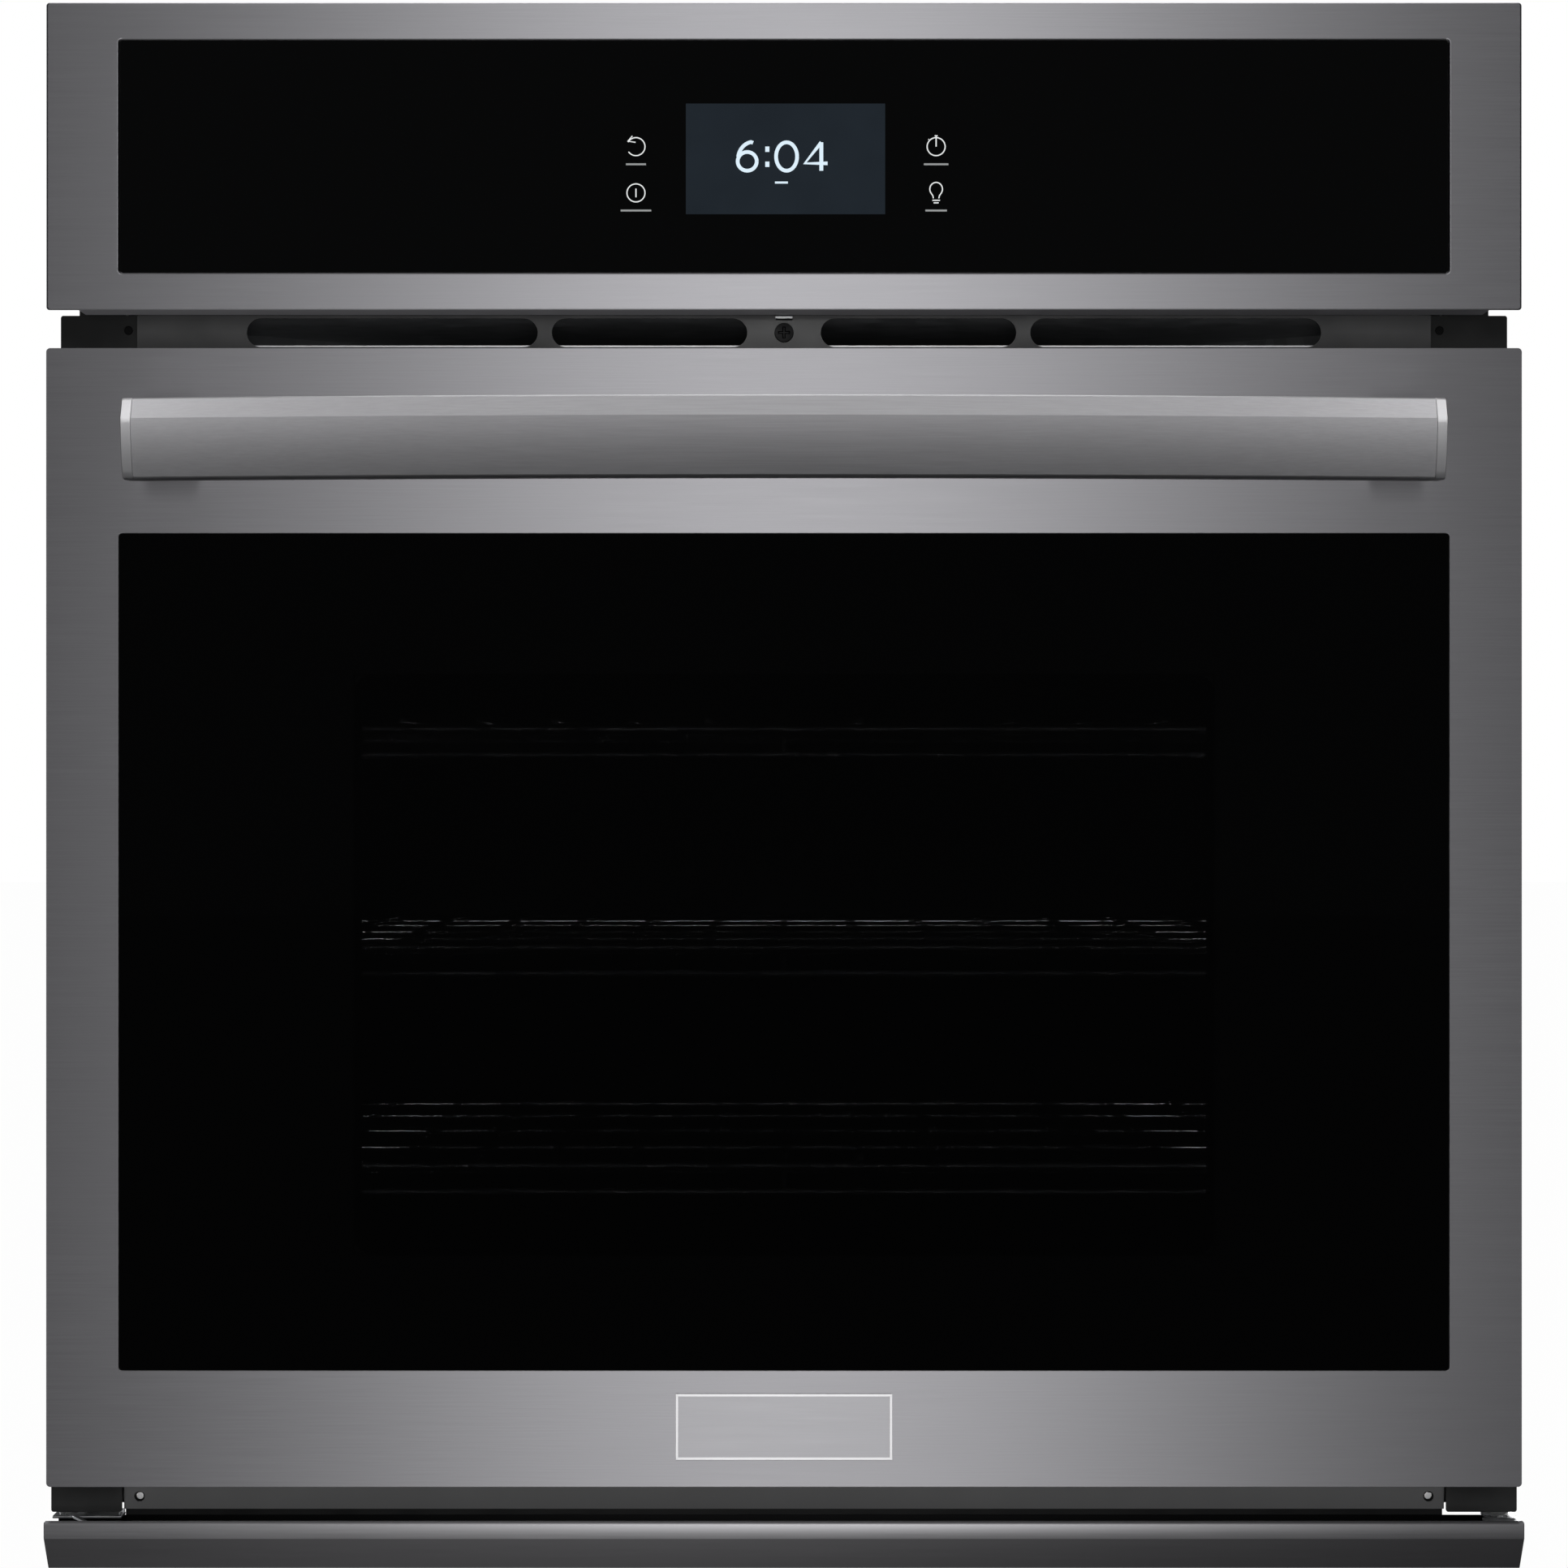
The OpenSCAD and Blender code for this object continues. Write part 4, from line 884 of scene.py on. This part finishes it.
def hinge_springs():
    """Wound compression springs, drawn with an even pitch right to the ends; they ride on the door at one
    length, though the real ones shorten as the door opens.
    """
    low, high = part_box("hinge_springs")
    wire = 1.2 * MM
    winding = 5.6 * MM
    y = (low.y + high.y) / 2
    turns = 27
    per_turn = 24
    sides = 8
    meshes = []
    for side in (-1, 1):
        x = side * (high.x - wire - winding)
        rings = []
        total = turns * per_turn
        for i in range(total + 1):
            t = i / total
            a = 2 * math.pi * turns * t
            z = low.z + wire + (high.z - low.z - 2 * wire) * t
            heart = Vector((x + winding * math.cos(a), y + winding * math.sin(a), z))
            out = Vector((math.cos(a), math.sin(a), 0))
            rings.append([heart + out * (wire * math.cos(b)) + Vector((0, 0, wire * math.sin(b)))
                          for b in (2 * math.pi * k / sides for k in range(sides))])
        meshes.append(loft("coil", rings))
    wound = joined("hinge_springs_wound", meshes)
    springs = add_piece("hinge_springs_wound", wound, finish_for("screw_steel"), "door",
                        ["hinge_springs"], smooth=60)
    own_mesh(springs)


def wool_batt(node, name):
    """Glass wool cut to the CAD solid: a tufted surface that never stands proud of it."""
    voxel = 7 * MM
    inward = 0.9 * MM
    tuft_depth = 1.6 * MM
    bm = bmesh.new()
    bm.from_mesh(nodes[node].data)
    bmesh.ops.remove_doubles(bm, verts=bm.verts, dist=0.002 * MM)
    mesh = bpy.data.meshes.new(name)
    bm.to_mesh(mesh)
    bm.free()
    holder = bpy.data.objects.new(name + "_block", mesh)
    bpy.context.scene.collection.objects.link(holder)
    remesh = holder.modifiers.new("voxels", "REMESH")
    remesh.mode = "VOXEL"
    remesh.voxel_size = voxel
    bpy.context.view_layer.update()
    done = bpy.data.meshes.new_from_object(holder.evaluated_get(bpy.context.evaluated_depsgraph_get()))
    bpy.data.objects.remove(holder)
    for vertex, normal in zip(done.vertices, [v.normal.copy() for v in done.vertices]):
        tuft = 0.5 + 0.5 * noise.noise(vertex.co * 55) + 0.25 * noise.noise(vertex.co * 140)
        vertex.co -= normal * (inward + tuft_depth * max(0.0, tuft))
    body = nodes[node]["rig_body"]
    batt = add_piece(name, done, finish_for("insulation_wool"), body, [node], smooth=180)


metal_fronts()
glass_panes()
handle()
badge()
clock()
touch_symbols()
door_gasket()
hinge_springs()
wool_batt("insulation", "insulation_batt")
wool_batt("door_insulation", "door_insulation_batt")


# ---- studio --------------------------------------------------------------------------------------

def floor():
    low = cad_box[0]
    bpy.ops.mesh.primitive_plane_add(size=24, location=(0, 2, low.z - 0.1 * MM))
    plane = bpy.context.object
    plane.name = "studio_floor"
    f = Finish("studio_floor")
    f.set(Base_Color=f.mix(f.noise(3), (0.80, 0.80, 0.80), (0.83, 0.83, 0.83)), Roughness=0.7)
    bright = f.node("ShaderNodeEmission")
    bright.inputs["Strength"].default_value = 1.0
    seen = f.node("ShaderNodeLightPath").outputs["Is Camera Ray"]
    mix = f.node("ShaderNodeMixShader")
    f.link(f.math("MULTIPLY", seen, 0.985), mix.inputs[0])
    f.link(f.shader.outputs[0], mix.inputs[1])
    f.link(bright.outputs[0], mix.inputs[2])
    f.link(mix.outputs[0], f.surface.inputs["Surface"])
    plane.data.materials.append(f.material)


def backdrop():
    """White where the camera looks past the oven, and dim in what the oven mirrors."""
    world = bpy.data.worlds.new("studio")
    bpy.context.scene.world = world
    world.use_nodes = True
    tree = world.node_tree
    tree.nodes.clear()
    seen = tree.nodes.new("ShaderNodeLightPath").outputs["Is Camera Ray"]
    white = tree.nodes.new("ShaderNodeBackground")
    dim = tree.nodes.new("ShaderNodeBackground")
    white.inputs["Color"].default_value = (1, 1, 1, 1)
    dim.inputs["Color"].default_value = (0.95, 0.97, 1.0, 1)
    dim.inputs["Strength"].default_value = 0.06
    mix = tree.nodes.new("ShaderNodeMixShader")
    out = tree.nodes.new("ShaderNodeOutputWorld")
    tree.links.new(seen, mix.inputs[0])
    tree.links.new(dim.outputs[0], mix.inputs[1])
    tree.links.new(white.outputs[0], mix.inputs[2])
    tree.links.new(mix.outputs[0], out.inputs["Surface"])


def soft_light(name, place, target, width, height, power, skips=(), only=(), unshaded_by=()):
    """A rectangular soft light. It leaves skips unlit or lights nothing but only, and passes unshaded_by."""
    data = bpy.data.lights.new(name, "AREA")
    data.shape = "RECTANGLE"
    data.size = width
    data.size_y = height
    data.energy = power
    lamp = bpy.data.objects.new(name, data)
    lamp.location = place
    lamp.rotation_mode = "QUATERNION"
    lamp.rotation_quaternion = (Vector(target) - Vector(place)).to_track_quat("-Z", "Y")
    bpy.context.scene.collection.objects.link(lamp)
    if skips or only:
        lamp.light_linking.receiver_collection = linked(name + "_lights", skips or only, bool(only))
    if unshaded_by:
        lamp.light_linking.blocker_collection = linked(name + "_shadows", unshaded_by, False)


def linked(name, pieces, included):
    """A light-linking group of pieces, all included or all left out."""
    group = bpy.data.collections.new(name)
    for piece in pieces:
        group.objects.link(bpy.data.objects[piece])
    for member in group.collection_objects:
        member.light_linking.link_state = "INCLUDE" if included else "EXCLUDE"
    return group


def door_pieces():
    """Every piece that rides on the door."""
    meshes = [piece for piece in bpy.data.objects if piece.type == "MESH"]
    return [piece.name for piece in meshes if piece.get("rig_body") == "door"]


def lights():
    """A tall strip in front for the highlight down the middle, lamps for the handle, and fills all round."""
    ground = ["studio_floor"]
    bar = ["handle_bar_drawn", "handle_end_caps_cast"]
    racks = ["upper_rack", "middle_rack", "lower_rack"]
    front = bar + ["door_skin_folded", "control_fascia_folded", "bottom_trim_folded", "vent_plate_pressed"]
    panes = ["control_glass_ground", "door_glass_ground", "middle_glass_ground", "inner_glass_ground",
             "display_field", "clock_digits", "clock_colon", "clock_half_day_mark",
             "symbol_back", "symbol_power", "symbol_timer", "symbol_lamp", "symbol_bars"]
    soft_light("front_strip", (0, -2.7, 0.45), (0, 0, 0.4), 0.45, 2.3, 22, ground + bar + panes,
               unshaded_by=ground + bar)
    soft_light("bar_wash", (0, -2.5, 1.6), (0, 0, 0.5), 4.0, 0.3, 30, only=bar)
    soft_light("bar_top", (0, -1.6, 1.8), (0, -0.1, 0.5), 3.6, 0.3, 4, only=bar)
    soft_light("bar_left", (-1.4, -1.6, 1.8), (-0.5, -0.1, 0.5), 0.7, 0.3, 8, only=bar)
    soft_light("bar_right", (1.4, -1.6, 1.8), (0.5, -0.1, 0.5), 0.7, 0.3, 8, only=bar)
    soft_light("rack_glow", (0, -1.6, 1.1), (0, 0.25, 0.3), 4.0, 0.4, 40, only=racks,
               unshaded_by=door_pieces())
    soft_light("overhead", (0, 0.35, 2.6), (0, 0.3, 0.5), 1.2, 0.7, 22, ground)
    soft_light("side_left", (-2.6, 0.4, 0.9), (0, 0.25, 0.35), 1.2, 1.4, 60, ground + front)
    soft_light("side_right", (2.6, 0.4, 0.9), (0, 0.25, 0.35), 1.2, 1.4, 60, ground + front)
    soft_light("rear", (0.6, 3.0, 1.6), (0, 0.4, 0.35), 1.6, 1.2, 65, ground + front)


def camera():
    """Level view of the front from about two metres, with the oven filling the frame."""
    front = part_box("door_skin")[0].y
    distance = 2.0
    eye_height = 349 * MM
    shown_width = 728.7 * MM
    data = bpy.data.cameras.new("camera")
    data.sensor_width = 36.0
    data.lens = data.sensor_width * distance / shown_width
    data.clip_start = 0.05
    data.clip_end = 60
    eye = bpy.data.objects.new("camera", data)
    eye.location = (0, front - distance, eye_height)
    eye.rotation_euler = (math.radians(90), 0, 0)
    bpy.context.scene.collection.objects.link(eye)
    bpy.context.scene.camera = eye


camera()
floor()
backdrop()
lights()
bpy.context.scene.view_settings.view_transform = "Standard"
